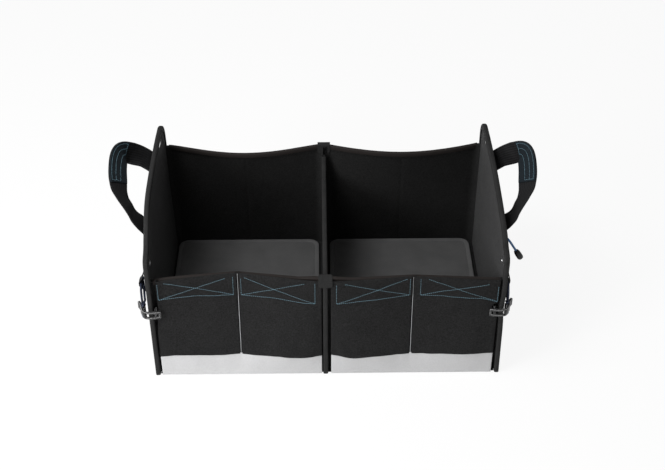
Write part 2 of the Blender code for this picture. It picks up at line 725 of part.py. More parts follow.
def hook(side, sign):
    """A moulded hook round the front edge of the side panel: bow, finger, eye and inner leg."""
    edge = WIDTH / 2
    half = HOOK_THICK / 2
    path = smooth_path(HOOK_BOW, 3)
    ahead, behind = [], []
    for k, point in enumerate(path):
        along = (path[min(k + 1, len(path) - 1)] - path[max(k - 1, 0)]).normalized()
        normal = Vector((along.y, -along.x))
        taper = 1 if 0 < k < len(path) - 1 else 0.6
        ahead.append(point + normal * half * taper)
        behind.append(point - normal * half * taper)
    outline = [(sign * (edge + p[0]), FRONT + p[1]) for p in ahead + behind[::-1]]
    level = (0, 0, HOOK_LEVEL)
    body = as_mesh(flat_shape(side + "_hook", [outline], HOOK_HEIGHT, PLASTIC, level, (0, 0, 0)))
    pivot = (sign * (edge + HOOK_PIVOT_OUT), FRONT + HOOK_PIVOT_BACK)
    boss = circle(pivot, HOOK_EYE + 2 * HOOK_EYE_WALL, 24)
    leg_x = edge - SIDE_BINDING - POCKET_FROM_BINDING / 2
    leg = [(leg_x - half * 0.9, -0.0060), (leg_x + half * 0.9, -0.0060), (leg_x + half * 0.7, HOOK_LEG), (leg_x - half * 0.7, HOOK_LEG)]
    leg = [(sign * x, FRONT + y) for x, y in leg]
    for name, ring, height, operation in (
        ("boss", boss, HOOK_HEIGHT - 2 * CLEAR, "UNION"),
        ("leg", leg, HOOK_HEIGHT - 4 * CLEAR, "UNION"),
        ("bore", circle(pivot, HOOK_EYE, 20), HOOK_HEIGHT * 2, "DIFFERENCE"),
    ):
        other = as_mesh(flat_shape(f"{side}_hook_{name}", [ring], height, None, level, (0, 0, 0), CUTTERS))
        boolean(body, other, operation)
    slot_x = sorted((sign * (edge - 0.0205), sign * (edge - 0.0205 + HOOK_SLOT)))
    low = (slot_x[0], FRONT - 0.015, HOOK_LEVEL - HOOK_SLOT_HEIGHT / 2)
    high = (slot_x[1], FRONT - 0.0042, HOOK_LEVEL + HOOK_SLOT_HEIGHT / 2)
    boolean(body, box_cutter(side + "_hook_slot", low, high), "DIFFERENCE")
    return pivot


def hook_cord(side, sign, pivot, loop_at):
    """Elastic cord from a knot behind the anchor loop down through the hook's eye to a second knot."""
    out, tip = loop_at
    behind = FRONT + LOOP_FROM_FRONT + LOOP_WIDTH + KNOT / 2 + CLEAR
    foot = HOOK_LEVEL - HOOK_HEIGHT / 2 - CLEAR - KNOT / 2
    pivot_out = abs(pivot[0])
    route = [
        (out, behind, tip), (out, FRONT + LOOP_FROM_FRONT + LOOP_WIDTH / 2, tip), (out, FRONT + 0.0085, tip - 0.0010),
        (out + (pivot_out - out) * 0.15, FRONT + 0.0045, tip - 0.009),
        (out + (pivot_out - out) * 0.6, FRONT + 0.0055, (tip + HOOK_LEVEL) / 2 + 0.004),
        (pivot_out, pivot[1], HOOK_LEVEL + HOOK_HEIGHT), (pivot_out, pivot[1], HOOK_LEVEL), (pivot_out, pivot[1], foot),
    ]
    points = smooth_path([(sign * x, y, z) for x, y, z in route], 4)
    cord = as_mesh(tube(side + "_hook_cord", points, CORD, BLUE_CORD))
    for name, at in (("top", points[0]), ("foot", points[-1])):
        bpy.ops.mesh.primitive_uv_sphere_add(segments=12, ring_count=8, radius=KNOT / 2, location=at)
        boolean(cord, just_added(f"{side}_cord_{name}_knot", CUTTERS), "UNION")


# The right cord tail's route, from the handle's front end out and down to its fitting
TAIL_ROUTE = [
    (0.3060, -0.1090, 0.2490), (0.3072, -0.1120, 0.2496), (0.3094, -0.1145, 0.2495), (0.3120, -0.1163, 0.2482),
    (0.3146, -0.1174, 0.2460), (0.3170, -0.1180, 0.2433), (0.3192, -0.1183, 0.2403), (0.3213, -0.1184, 0.2371),
    (0.3233, -0.1184, 0.2338), (0.3253, -0.1184, 0.2305), (0.3273, -0.1184, 0.2272), (0.3293, -0.1184, 0.2239),
    (0.3313, -0.1184, 0.2206),
]


def cord_tail():
    """The loose end of the elastic cord, with the moulded fitting on it."""
    points = smooth_path(TAIL_ROUTE, 1)
    tube("right_cord_tail", points, CORD, BLUE_CORD)
    end = Vector(TAIL_ROUTE[-1])
    along = (end - Vector(TAIL_ROUTE[-2])).normalized()
    centre = end + along * (CLEAR + CORD_END_LENGTH / 2)
    bpy.ops.mesh.primitive_cylinder_add(vertices=20, radius=CORD_END / 2, depth=CORD_END_LENGTH, location=centre)
    fitting = just_added("right_cord_end", PARTS)
    fitting.rotation_euler = along.to_track_quat("Z", "Y").to_euler()
    fitting.data.materials.append(finish(*PLASTIC))
    bevel = fitting.modifiers.new("edge", "BEVEL")
    bevel.width = 0.0016
    bevel.segments = 2


SIDES = (("left", -1), ("right", 1))
clear_scene()
PARTS = collection("car_storage_box")
CUTTERS = collection("guides")
base_and_floor()
side_panels()
walls()
divider()
for side, sign in SIDES:
    front_band(side, sign)
    crease_piping(side, sign)
    handle(side, sign)
    hook_cord(side, sign, hook(side, sign), anchor_loop(side, sign))
for number, (sign, outer) in enumerate(((-1, True), (-1, False), (1, False), (1, True)), 1):
    pocket(number, sign, outer)
cord_tail()
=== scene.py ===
"""A collapsible car storage box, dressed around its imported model.

Metres, +Z up. The front pockets face -Y, and the origin is the centre of the underside.
"""

import math

import bmesh
import bpy
from mathutils import Matrix, Vector, noise


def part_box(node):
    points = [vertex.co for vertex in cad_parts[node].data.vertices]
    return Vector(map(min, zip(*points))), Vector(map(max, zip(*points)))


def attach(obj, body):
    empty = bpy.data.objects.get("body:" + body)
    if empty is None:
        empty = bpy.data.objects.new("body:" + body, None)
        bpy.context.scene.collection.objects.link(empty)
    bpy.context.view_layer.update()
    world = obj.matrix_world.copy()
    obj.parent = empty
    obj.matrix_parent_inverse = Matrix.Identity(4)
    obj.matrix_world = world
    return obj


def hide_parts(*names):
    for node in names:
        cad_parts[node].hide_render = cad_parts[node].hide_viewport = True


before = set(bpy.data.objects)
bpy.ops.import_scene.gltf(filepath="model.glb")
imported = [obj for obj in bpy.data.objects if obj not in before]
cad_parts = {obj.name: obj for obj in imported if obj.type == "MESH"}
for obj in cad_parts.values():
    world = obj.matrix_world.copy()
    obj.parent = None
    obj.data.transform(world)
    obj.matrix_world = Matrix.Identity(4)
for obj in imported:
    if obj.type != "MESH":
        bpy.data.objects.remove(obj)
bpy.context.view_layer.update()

# The camera stands in front of the box and above it, as a buyer looks into an open boot.
camera_data = bpy.data.cameras.new("camera")
camera_data.sensor_width = 36
camera_data.lens = 65.43
camera = bpy.data.objects.new("camera", camera_data)
camera.location = (-0.0079, -1.7526, 1.5348)
camera.rotation_euler = (math.radians(90 - 38.01), 0, math.radians(-0.73))
bpy.context.scene.collection.objects.link(camera)
bpy.context.scene.camera = camera

# The two floor boards: stiff board wrapped in dark felted cloth, glued over the edge and sewn
# round once, a few millimetres in. They lie loose on the base, one in each compartment.
BOARD_CORNER = 0.020
BOARD_ROLL = 0.0016
BOARD_SEAM_IN = 0.006
BOARD_SEAM_WIDE = 0.0009
BOARD_SEAM_DEEP = 0.0005


class Field:
    """A number that varies over a surface: one socket of a material. Its sums and products add Math nodes."""

    def __init__(self, finish, socket):
        self.finish = finish
        self.socket = socket

    def math(self, operation, other=None, swapped=False):
        terms = [self] if other is None else [other, self] if swapped else [self, other]
        return self.finish.node("ShaderNodeMath", {"operation": operation}, dict(enumerate(terms)))

    def __add__(self, other):
        return self.math("ADD", other)

    def __sub__(self, other):
        return self.math("SUBTRACT", other)

    def __rsub__(self, other):
        return self.math("SUBTRACT", other, swapped=True)

    def __mul__(self, other):
        return self.math("MULTIPLY", other)

    __radd__ = __add__
    __rmul__ = __mul__

    def sine(self):
        return self.math("SINE")

    def size(self):
        return self.math("ABSOLUTE")

    def larger(self, other):
        return self.math("MAXIMUM", other)

    def power(self, exponent):
        return self.math("POWER", exponent)


class Nodes:
    """A tree of shader nodes."""

    def __init__(self, tree):
        self.tree = tree
        self.nodes = tree.nodes

    def feed(self, socket, value):
        if isinstance(value, Field):
            self.tree.links.new(value.socket, socket)
        else:
            socket.default_value = value

    def node(self, kind, settings=None, sockets=None, out=0):
        made = self.nodes.new(kind)
        for key, value in (settings or {}).items():
            setattr(made, key, value)
        for key, value in (sockets or {}).items():
            self.feed(made.inputs[key], value)
        return Field(self, made.outputs[out])

    def hit_by(self, first, *others):
        """1 where one of these kinds of ray hits the surface, and 0 elsewhere."""
        hit = self.node("ShaderNodeLightPath", out=f"Is {first} Ray")
        return hit.larger(self.hit_by(*others)) if others else hit


class Finish(Nodes):
    """A procedural material built on the Principled shader."""

    def __init__(self, name, roughness, sheen=0.0, specular=0.5, metallic=0.0):
        self.material = bpy.data.materials.new(name)
        self.material.use_nodes = True
        super().__init__(self.material.node_tree)
        self.shader = self.nodes["Principled BSDF"]
        fixed = {"Roughness": roughness, "Sheen Weight": sheen, "Sheen Roughness": 0.45,
                 "Specular IOR Level": specular, "Metallic": metallic}
        for socket, value in fixed.items():
            self.shader.inputs[socket].default_value = value

    def across(self):
        """A point's two distances on the piece's own cloth, in metres."""
        uv = self.node("ShaderNodeUVMap", {"uv_map": "cloth"})
        parts = self.nodes.new("ShaderNodeSeparateXYZ")
        self.feed(parts.inputs[0], uv)
        return Field(self, parts.outputs[0]), Field(self, parts.outputs[1])

    def cloud(self, scale, detail=2.0, at=None):
        """Soft noise from 0 to 1 with features of about 1 / scale metres."""
        at = at or self.node("ShaderNodeTexCoord", out="Object")
        return self.node("ShaderNodeTexNoise", None, {"Vector": at, "Scale": scale, "Detail": detail})

    def streaks(self, along, over, per_along, per_over):
        """Noise drawn out one way over the cloth, as thick and thin yarn makes."""
        at = self.node("ShaderNodeCombineXYZ", None, {0: along * per_along, 1: over * per_over})
        return self.cloud(1, detail=1, at=at)

    def relief(self, height, depth):
        """Bumps the surface by height times depth metres."""
        sockets = {"Height": height, "Distance": depth, "Strength": 1.0}
        self.feed(self.shader.inputs["Normal"], self.node("ShaderNodeBump", None, sockets))

    def colour(self, share, one, two):
        """The base colour runs from one to two as share goes from 0 to 1."""
        sockets = {0: share, 6: (*one, 1), 7: (*two, 1)}
        mixed = self.node("ShaderNodeMix", {"data_type": "RGBA"}, sockets, out=2)
        self.feed(self.shader.inputs["Base Color"], mixed)

    def roughness(self, value):
        self.feed(self.shader.inputs["Roughness"], value)


felt = Finish("board_felt", roughness=0.92, sheen=0.05, specular=0.2)
fuzz = felt.cloud(2600, detail=3)
patches = felt.cloud(28)
felt.colour(fuzz * 0.55 + patches * 0.45, (0.048, 0.048, 0.048), (0.136, 0.136, 0.137))
felt.relief(fuzz, 0.0004)


def object_of(name, bm):
    """A new object of that mesh, linked into the scene."""
    mesh = bpy.data.meshes.new(name)
    bm.to_mesh(mesh)
    bm.free()
    made = bpy.data.objects.new(name, mesh)
    bpy.context.scene.collection.objects.link(made)
    return made


def piece(name, bm, finish, nodes=(), body="box", sharp=None):
    """Dresses a finished mesh and puts it on its body in place of the CAD nodes."""
    made = object_of(name, bm)
    made.data.shade_smooth()
    if sharp:
        made.data.set_sharp_from_angle(angle=math.radians(sharp))
    made.data.materials.append(finish.material)
    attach(made, body)
    if nodes:
        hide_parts(*nodes)
    return made


def drawn_out(bm, faces, way):
    """Draws flat faces out into a closed block, and gives the corners of its far side."""
    made = bmesh.ops.extrude_face_region(bm, geom=faces, use_keep_orig=True)["geom"]
    far = [v for v in made if isinstance(v, bmesh.types.BMVert)]
    bmesh.ops.translate(bm, vec=way, verts=far)
    bmesh.ops.recalc_face_normals(bm, faces=bm.faces)
    return far


def rounded(bm, geom, offset, segments, affect="EDGES"):
    bmesh.ops.bevel(bm, geom=geom, offset=offset, segments=segments, profile=0.5, affect=affect, material=-1)


SIDES = (("left", -1), ("right", 1))
for side, sign in SIDES:
    low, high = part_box("floor_board_" + side)
    middle, extent = (low + high) / 2, high - low
    bm = bmesh.new()
    bmesh.ops.create_grid(bm, x_segments=1, y_segments=1, size=0.5)
    bmesh.ops.scale(bm, vec=(extent.x, extent.y, 1), verts=bm.verts)
    bmesh.ops.translate(bm, vec=(middle.x, middle.y, high.z), verts=bm.verts)
    rounded(bm, bm.verts[:], BOARD_CORNER, 8, "VERTICES")
    drawn_out(bm, bm.faces[:], (0, 0, -extent.z))
    rounded(bm, [e for e in bm.edges if abs(e.verts[0].co.z - e.verts[1].co.z) < 1e-6], BOARD_ROLL, 3)
    top = [max((f for f in bm.faces if f.normal.z > 0.9), key=lambda f: f.calc_area())]
    groove = (BOARD_SEAM_IN, 0), (BOARD_SEAM_WIDE, -BOARD_SEAM_DEEP), (BOARD_SEAM_WIDE, BOARD_SEAM_DEEP)
    for inset, sink in groove:
        bmesh.ops.inset_region(bm, faces=top, thickness=inset, depth=sink)
    piece("floor_board_cloth_" + side, bm, felt, ["floor_board_" + side], sharp=50)

# The base: one sheet of the black cloth, sewn into the foot of every wall. It is only seen from
# below, where the boards press faintly through it.
BASE_THICK = 0.0024
BASE_TOP = 0.003
BASE_HALF_DEEP = 0.1903
BASE_HALF_WIDE = 0.2990
BASE_WALL_HALF = 0.2955
WALL_LINE = 0.1835


def clamp(x):
    return min(max(x, 0), 1)


def soften(made, width, segments, angle):
    """Rounds the object's edges that are sharper than the angle."""
    edge = made.modifiers.new("soft edges", "BEVEL")
    edge.width = width
    edge.segments = segments
    edge.limit_method = "ANGLE"
    edge.angle_limit = math.radians(angle)
    return edge


def sheet(name, columns, rows, at, size, finish, nodes=(), thick=0.0, facing=(0, -1, 0), back=None,
          roll=0.0):
    """Cloth over a grid: at(u, v) gives each point, and size its width and length for the weave.

    It gets a thickness away from facing, or its other face from back(u, v). roll rounds its raw edges.
    """
    bm = bmesh.new()
    bmesh.ops.create_grid(bm, x_segments=columns, y_segments=rows, size=0.5)
    weave = bm.loops.layers.uv.new("cloth")
    for face in bm.faces:
        for loop in face.loops:
            loop[weave].uv = ((loop.vert.co.x + 0.5) * size[0], (loop.vert.co.y + 0.5) * size[1])
    spots = {v: (v.co.x + 0.5, v.co.y + 0.5) for v in bm.verts}
    reverse = drawn_out(bm, bm.faces[:], (0, 0, 0)) if back else []
    for v in reverse:
        v.co = back(v.co.x + 0.5, v.co.y + 0.5)
    for v, spot in spots.items():
        v.co = at(*spot)
    bm.normal_update()
    if back:
        bmesh.ops.recalc_face_normals(bm, faces=bm.faces)
    else:
        bm.faces.ensure_lookup_table()
        if bm.faces[len(bm.faces) // 2 + columns // 2].normal.dot(Vector(facing)) < 0:
            bmesh.ops.reverse_faces(bm, faces=bm.faces)
    made = piece(name, bm, finish, nodes, sharp=55 if back else None)
    if thick:
        wall = made.modifiers.new("thickness", "SOLIDIFY")
        wall.thickness = thick
        wall.offset = -1
    if roll:
        soften(made, roll, 2, 55)
    return made


def mottle(x, y, z, span):
    """Smooth noise of about -1 to 1 with bumps of that span."""
    return noise.noise(Vector((x, y, z)) / span)


def woven(name, dark, light, thread, weave_depth, patch=0.2, **fixed):
    """Plain weave: threads of that pitch cross on the piece's own cloth, over soft patches of tone."""
    made = Finish(name, **fixed)
    along, over = made.across()
    turns = math.pi / thread
    threads = ((along * turns).sine() * (over * turns).sine()).size()
    slubs = made.streaks(along, over, 90, 1100) + made.streaks(along, over, 1100, 90)
    heather = made.cloud(420, detail=2) * 2.8 - 0.9
    tone = made.cloud(24, detail=3)
    made.colour(threads * 0.24 + tone * patch + slubs * 0.12 + heather * (0.54 - patch), dark, light)
    made.relief(threads + slubs * 0.7 + made.cloud(160, detail=2) * 0.6, weave_depth)
    return made


black_cloth = woven("black_cloth", (0.001, 0.001, 0.001), (0.033, 0.033, 0.0335), 0.00055, 0.00022,
                    roughness=0.80, sheen=0.01, specular=0.08)


LEFT_LEAN = 0.0075
RIGHT_LEAN = 0.0045
HOOK_DENT = 0.0024
HOOK_LEVEL = 0.150


def lean(sign, y, z):
    """How far a side panel stands out: the left one more at its back, the right one less beside its hook."""
    back = clamp((y + 0.195) / 0.15)
    back *= back * (3 - 2 * back)
    if sign < 0:
        return LEFT_LEAN * back * clamp(z / 0.30)
    dent = HOOK_DENT * math.exp(-((z - HOOK_LEVEL) / 0.020) ** 2) * clamp(1.8 - (y + 0.195) / 0.030)
    return RIGHT_LEAN - 0.0010 * back + 0.0018 * (1 - back) * max(1 - z / 0.12, 0) - dent


def base_at(u, v):
    y = (v - 0.5) * 2 * BASE_HALF_DEEP
    x = (u - 0.5) * 2
    x *= (BASE_HALF_WIDE if abs(y) < WALL_LINE else BASE_WALL_HALF) + (lean(1, y, 0) if x > 0 else 0)
    pressed = 0.0005 * math.cos(u * math.pi * 2) ** 8 + 0.0003 * abs(mottle(x, y, 0, 0.05))
    return (x, y, BASE_TOP - BASE_THICK + min(pressed, BASE_THICK / 3))


sheet("base_sheet", 120, 80, base_at, (0.60, 0.3806), black_cloth, ["base_cloth"],
      thick=BASE_THICK, facing=(0, 0, -1))

# The front and back walls: each half is two boards in a sleeve of lining cloth, sewn between them,
# so that the wall folds inward at its middle. A narrow tape closes the sleeve's top edge.
FRONT = -0.195
BACK = 0.195
FRONT_TOP = 0.218
FRONT_SAG = 0.0045
BACK_TOP = 0.238
WALL = 0.004
FOOT = 0.0033
COVE = 0.0085
COVE_WIDE = 0.016
WALL_TAPE = 0.0010
TAPE_OVER = 0.0003
WALL_TAPE_DEEP = 0.007
WALL_PLAY = 0.0007
HALF_INNER = 0.0028
HALF_OUTER = 0.2977
BACK_INNER = 0.0048
BACK_OUTER = 0.2957
SLEEVE_INNER = 0.0015
SLEEVE_OUTER = 0.2985
FRONT_FOLD = {-1: 0.031, 1: 0.018}
POCKET_ROOM = 0.015
LEFT_EASE = 0.65
BACK_FOLD = 0.030
BACK_SET = 0.002
HINGE_WIDE = 0.0022
HINGE_DEEP = 0.0007

lining = woven("inner_cloth", (0.003, 0.003, 0.003), (0.027, 0.027, 0.027), 0.0006, 0.00018,
               roughness=0.78, sheen=0.01, specular=0.10)


def front_board(sign, x, z):
    """Front face of the front wall."""
    crease = sign * (HALF_INNER + HALF_OUTER) / 2
    near = max(1 - abs(x - crease) / abs(HALF_OUTER - HALF_INNER) * 2, 0)
    if sign < 0 and abs(x) > abs(crease):
        near **= LEFT_EASE
    drawn_in = 0.0070 * (1 - near) * (z / FRONT_TOP) ** 2
    return FRONT + POCKET_ROOM - drawn_in + max(FRONT_FOLD[sign] - POCKET_ROOM, 0) * near * z / FRONT_TOP


def back_board(sign, x, z):
    """Back face of the back wall."""
    t = (abs(x) - BACK_INNER) / (BACK_OUTER - BACK_INNER)
    bow = math.sin(math.pi * t) ** (1.15 if sign < 0 else 0.95) if 0 < t < 1 else 0
    return BACK - BACK_SET - BACK_FOLD * bow * z / BACK_TOP


def hinge(x, sign):
    """Depth of the sewn hinge between a half wall's two boards."""
    off = (abs(x) - (HALF_INNER + HALF_OUTER) / 2) / HINGE_WIDE
    return HINGE_DEEP * math.exp(-off * off)


def swell(x, z, phase):
    """How far the sleeve's cloth stands off its board, from noise."""
    return 0.0005 * mottle(x, phase, z, 0.06) + 0.0002 * mottle(x, phase + 3, z, 0.018)


def smooth_line(knots, parts):
    """A smooth line through the knots, with that many parts to each span."""
    knots = [Vector(k) for k in knots]
    line = []
    for i in range(len(knots) - 1):
        p0, p1, p2, p3 = knots[max(i - 1, 0)], knots[i], knots[i + 1], knots[min(i + 2, len(knots) - 1)]
        for k in range(parts):
            t = k / parts
            line.append(0.5 * (2 * p1 + (p2 - p0) * t + (2 * p0 - 5 * p1 + 4 * p2 - p3) * t * t
                               + (3 * p1 - p0 - 3 * p2 + p3) * t ** 3))
    return line + [knots[-1]]


def steps(a, b, count):
    """count + 1 numbers, evenly from a to b."""
    return [a + (b - a) * k / count for k in range(count + 1)]


def run_at(line, i):
    """The way the line runs past its point i."""
    return line[min(i + 1, len(line) - 1)] - line[max(i - 1, 0)]


def length_of(line):
    return sum((b - a).length for a, b in zip(line, line[1:]))


def folded_tape(name, edge, outward, over, half, lift, deep, soft, finish, nodes):
    """Tape folded over an edge: outward points off the panel at each point, over across its thickness."""
    round_in = [(half - soft * (1 - math.cos(a)), lift - soft * (1 - math.sin(a)))
                for a in [math.pi / 2 * k / 4 for k in range(5)]]
    profile = [(half, -deep), (half, -deep * 0.5)] + round_in
    profile += [(-a, o) for a, o in reversed(profile)]
    last, rows = len(edge) - 1, len(profile) - 1
    wide = 2 * (half + deep)

    def at(u, v):
        k, (a, o) = round(u * last), profile[round(v * rows)]
        ripple = 0.00012 * mottle(*(edge[k] + over * a), 0.012)
        return edge[k] + over * (a + math.copysign(ripple, a)) + outward[k] * (o + ripple)

    return sheet(name, last, rows, at, (length_of(edge), wide), finish, nodes,
                 thick=0.0009, facing=outward[last // 2], roll=0.00025)


def ribbed_tape(name, dark, light, rib_depth):
    """Woven tape with fine ribs across it."""
    made = Finish(name, roughness=0.74, sheen=0.01, specular=0.07)
    along, over = made.across()
    ribs = (along * (math.pi / 0.00085)).sine().size()
    made.colour(ribs * 0.35 + made.streaks(along, over, 60, 900) * 0.35 + made.cloud(45) * 0.30, dark, light)
    made.relief(ribs + made.cloud(1500) * 0.5, rib_depth)
    return made


def off_edge(edge):
    """The way off a side panel or the divider at each point of its edge."""
    runs = [run_at(edge, i) for i in range(len(edge))]
    return [Vector((0, -run.z, run.y)).normalized() for run in runs]


tape_cloth = ribbed_tape("binding_tape", (0.006, 0.006, 0.006), (0.037, 0.037, 0.037), 0.00014)
wall_tape_cloth = ribbed_tape("wall_tape", (0.012, 0.010, 0.009), (0.030, 0.026, 0.025), 0.00008)

for side, sign in SIDES:
    for wall, board, top, shift, sag, cove_deep in (
        ("front", front_board, FRONT_TOP, 1, FRONT_SAG, COVE * 0.4),
        ("back", back_board, BACK_TOP, -1, 0, COVE),
    ):

        def face(u, v, depth=0.0, inward=1):
            """A point of the sleeve: the outer cloth, or the inner one where depth is the wall's."""
            z = FOOT + (top - WALL_TAPE - TAPE_OVER - sag * clamp((u - 0.05) / 0.10) - FOOT) * v
            tucked = SLEEVE_OUTER + lean(sign, shift * FRONT, z)
            x = sign * (SLEEVE_INNER + (tucked - SLEEVE_INNER) * u)
            off = hinge(x, sign) - swell(x, z, depth * 400 + sign)
            if depth:
                near = min(tucked - abs(x), abs(x) - SLEEVE_INNER)
                off -= cove_deep * max(1 - near / COVE_WIDE, 0) ** 2
            return Vector((x, board(sign, x, z) + shift * (depth + off * inward), z))

        sheet(f"{wall}_wall_sleeve_{side}", 120, 40, face, (0.297, top), lining,
              [f"{wall}_wall_{side}"],
              back=lambda u, v: face(u, v, WALL, -1))
        edge = [face(0.02 + 0.96 * k / 60, 1, WALL / 2, 0) for k in range(61)]
        folded_tape(f"{wall}_wall_top_tape_{side}", edge, [Vector((0, 0, 1))] * 61, Vector((0, 1, 0)),
                    WALL / 2 + WALL_PLAY + WALL_TAPE, WALL_TAPE + TAPE_OVER, WALL_TAPE_DEEP, 0.0022,
                    wall_tape_cloth, [f"{wall}_wall_binding_{side}"])

# The side panels: one stiff board each in black cloth, arched along the top, with a sewn slot near
# the back and an eyelet near the front. A folded tape binds the edge all the way round to the foot.
SIDE_X = 0.3005
SIDE_BOARD = 0.005
SIDE_TOP = 0.303
BIND_HALF = 0.0043
BIND_DEEP = 0.0093
BIND_LIFT = 0.0016
PANEL_EDGE = 0.0020
SHOULDERS = (0.246, 0.260)
SLOT_AT = (BACK - 0.058, SIDE_TOP - 0.026)
SLOT_LONG = 0.046
SLOT_HIGH = 0.012
SLOT_SLOPE = math.radians(-14)
EYE_AT = (FRONT + 0.036, FRONT_TOP + 0.014)
EYE_HOLE = 0.0076


def bezier(a, b, c, d, t):
    return a * (1 - t) ** 3 + b * 3 * t * (1 - t) ** 2 + c * 3 * t * t * (1 - t) + d * t ** 3


def arch(inset, parts=16):
    """The panel's edge from shoulder to shoulder, as (y, z), moved in by inset."""
    knots = [
        ((FRONT, SHOULDERS[0]), (0, 0.024), (0, 0.024)),
        ((FRONT + 0.036, SIDE_TOP - 0.030), (-0.016, -0.010), (0.030, 0.0165)),
        ((FRONT + 0.245, SIDE_TOP), (-0.090, 0), (0.050, 0)),
        ((BACK - 0.036, SIDE_TOP - 0.0045), (-0.022, 0.002), (0.018, -0.0030)),
        ((BACK, SHOULDERS[1]), (0, 0.024), (0, -0.024)),
    ]
    line = []
    for (a, _, leave), (b, arrive, _) in zip(knots, knots[1:]):
        a, b = Vector(a), Vector(b)
        line += [bezier(a, a + Vector(leave), b + Vector(arrive), b, k / parts) for k in range(parts)]
    line.append(Vector(knots[-1][0]))
    moved = []
    for i, point in enumerate(line):
        run = run_at(line, i)
        moved.append(point + Vector((run.y, -run.x)).normalized() * inset)
    return moved


def stitches(name, rows, finish, pitch=0.0032, fat=0.00034):
    """Lock stitches: each row is a line and the way the cloth faces, one for all or a list for its points."""
    bm = bmesh.new()
    for line, faces in rows:
        left = pitch * 0.5
        for i, (a, b) in enumerate(zip(line, line[1:])):
            facing = Vector(faces[i] if isinstance(faces, list) else faces)
            run = b - a
            while left <= run.length:
                along = run.normalized()
                side_way = facing.cross(along).normalized()
                lift = along.cross(side_way)
                turn = Matrix((along, side_way, lift)).transposed().to_4x4()
                shape = Matrix.Diagonal((pitch * 0.43, fat, fat, 1))
                spot = Matrix.Translation(a + along * left + lift * fat * 0.3)
                bmesh.ops.create_icosphere(bm, subdivisions=1, radius=1, matrix=spot @ turn @ shape)
                left += pitch
            left -= run.length
    return piece(name, bm, finish)


black_thread = Finish("black_thread", roughness=0.6, sheen=0.1, specular=0.3)
black_thread.colour(black_thread.cloud(900), (0.020, 0.020, 0.021), (0.050, 0.050, 0.052))


def stadium(centre, length, height, slope, parts=10):
    """The outline of a slot with round ends, as (y, z)."""
    turned = Matrix.Rotation(slope, 2)
    ends = [math.pi * k / parts - math.pi / 2 for k in range(parts + 1)]
    arc = [Vector(((length - height) / 2 + height / 2 * math.cos(a), height / 2 * math.sin(a))) for a in ends]
    return [Vector(centre) + turned @ p for p in arc + [-p for p in arc]]


def block(outline, way):
    """A closed block: a flat outline drawn out by way."""
    bm = bmesh.new()
    drawn_out(bm, [bm.faces.new([bm.verts.new(p) for p in outline])], way)
    return bm


def carve(target, operation, other):
    """Adds the other object to the target or takes it away, once keep_modified is called."""
    step = target.modifiers.new("step", "BOOLEAN")
    step.operation = operation
    step.object = other
    step.solver = "EXACT"


def cut(target, outline, x, deep):
    """Cuts a hole of that (y, z) outline through a panel, and keeps the cut mesh."""
    cutter = object_of("cutter", block([(x - deep / 2, *p) for p in outline], (deep, 0, 0)))
    carve(target, "DIFFERENCE", cutter)
    keep_modified(target)
    bpy.data.objects.remove(cutter)


def keep_modified(target):
    """Puts what the modifiers make into the piece's own mesh."""
    bpy.context.view_layer.update()
    graph = bpy.context.evaluated_depsgraph_get()
    made = target.evaluated_get(graph)
    mesh = bpy.data.meshes.new_from_object(made, preserve_all_data_layers=True, depsgraph=graph)
    target.modifiers.clear()
    target.data = mesh


def bind(name, edge, outs, soft, node):
    """The wide binding tape, folded over a board's edge."""
    folded_tape(name, edge, outs, Vector((1, 0, 0)), BIND_HALF, BIND_LIFT, BIND_DEEP, soft,
                tape_cloth, [node])


panel_weave = woven("panel_cloth", (0.012, 0.012, 0.012), (0.092, 0.092, 0.093), 0.00055, 0.00018,
                    roughness=0.80, sheen=0.01, specular=0.10)
for side, sign in SIDES:
    crown = arch(PANEL_EDGE)

    def panel(u, v, face=1):
        y, high = crown[round(u * (len(crown) - 1))]
        z = 0.0005 + (high - 0.0005) * v
        calm = min(1, 6 * u, 6 * (1 - u), 4 * (1 - v), 4 * v)
        slack = 0.0007 * calm * mottle(y, sign * 2 + face * 5, z, 0.09)
        near = ((y - SLOT_AT[0]) / 0.040) ** 2 + ((z - SLOT_AT[1]) / 0.017) ** 2
        thin = 1 - 0.72 * max(1 - near * near, 0)
        x = SIDE_X + lean(sign, y, z) + face * SIDE_BOARD / 2 * thin + slack * thin
        return (sign * x, y, z)

    cloth = sheet(f"{side}_panel_cloth", len(crown) - 1, 84, panel, (0.386, 0.3), panel_weave,
                  [side + "_side_panel"], back=lambda u, v: panel(u, v, -1))
    for hole in ((SLOT_AT, SLOT_LONG, SLOT_HIGH, SLOT_SLOPE), (EYE_AT, EYE_HOLE * 1.001, EYE_HOLE, 0)):
        cut(cloth, stadium(*hole), sign * (SIDE_X + 0.004), 0.04)
    fore, aft = FRONT + PANEL_EDGE, BACK - PANEL_EDGE
    path = [(fore, 0.0008)] + [(fore, SHOULDERS[0] * k / 12) for k in range(1, 12)] + crown
    path += [(aft, SHOULDERS[1] * (1 - k / 12)) for k in range(1, 12)] + [(aft, 0.0008)]
    edge = [Vector((sign * (SIDE_X + lean(sign, y, z)), y, z)) for y, z in path]
    outs = off_edge(edge)
    bind(f"{side}_panel_tape", edge, outs, 0.0028, side + "_side_binding")
    seam_rows = []
    for face in (-1, 1):
        off = Vector((face * (BIND_HALF + 0.0001), 0, 0))
        seam = [p - o * (BIND_DEEP - 0.0018) + off for p, o in zip(edge, outs)]
        seam_rows.append((seam[2:-2], (face, 0, 0)))
        hem = stadium(SLOT_AT, SLOT_LONG + 0.006, SLOT_HIGH + 0.006, SLOT_SLOPE)
        x = sign * (SIDE_X + lean(sign, *SLOT_AT)) + face * (SIDE_BOARD / 2 * 0.36 + 0.0002)
        seam_rows.append(([Vector((x, p[0], p[1])) for p in hem + hem[:1]], (face, 0, 0)))
    stitches(f"{side}_panel_seams", seam_rows, black_thread)

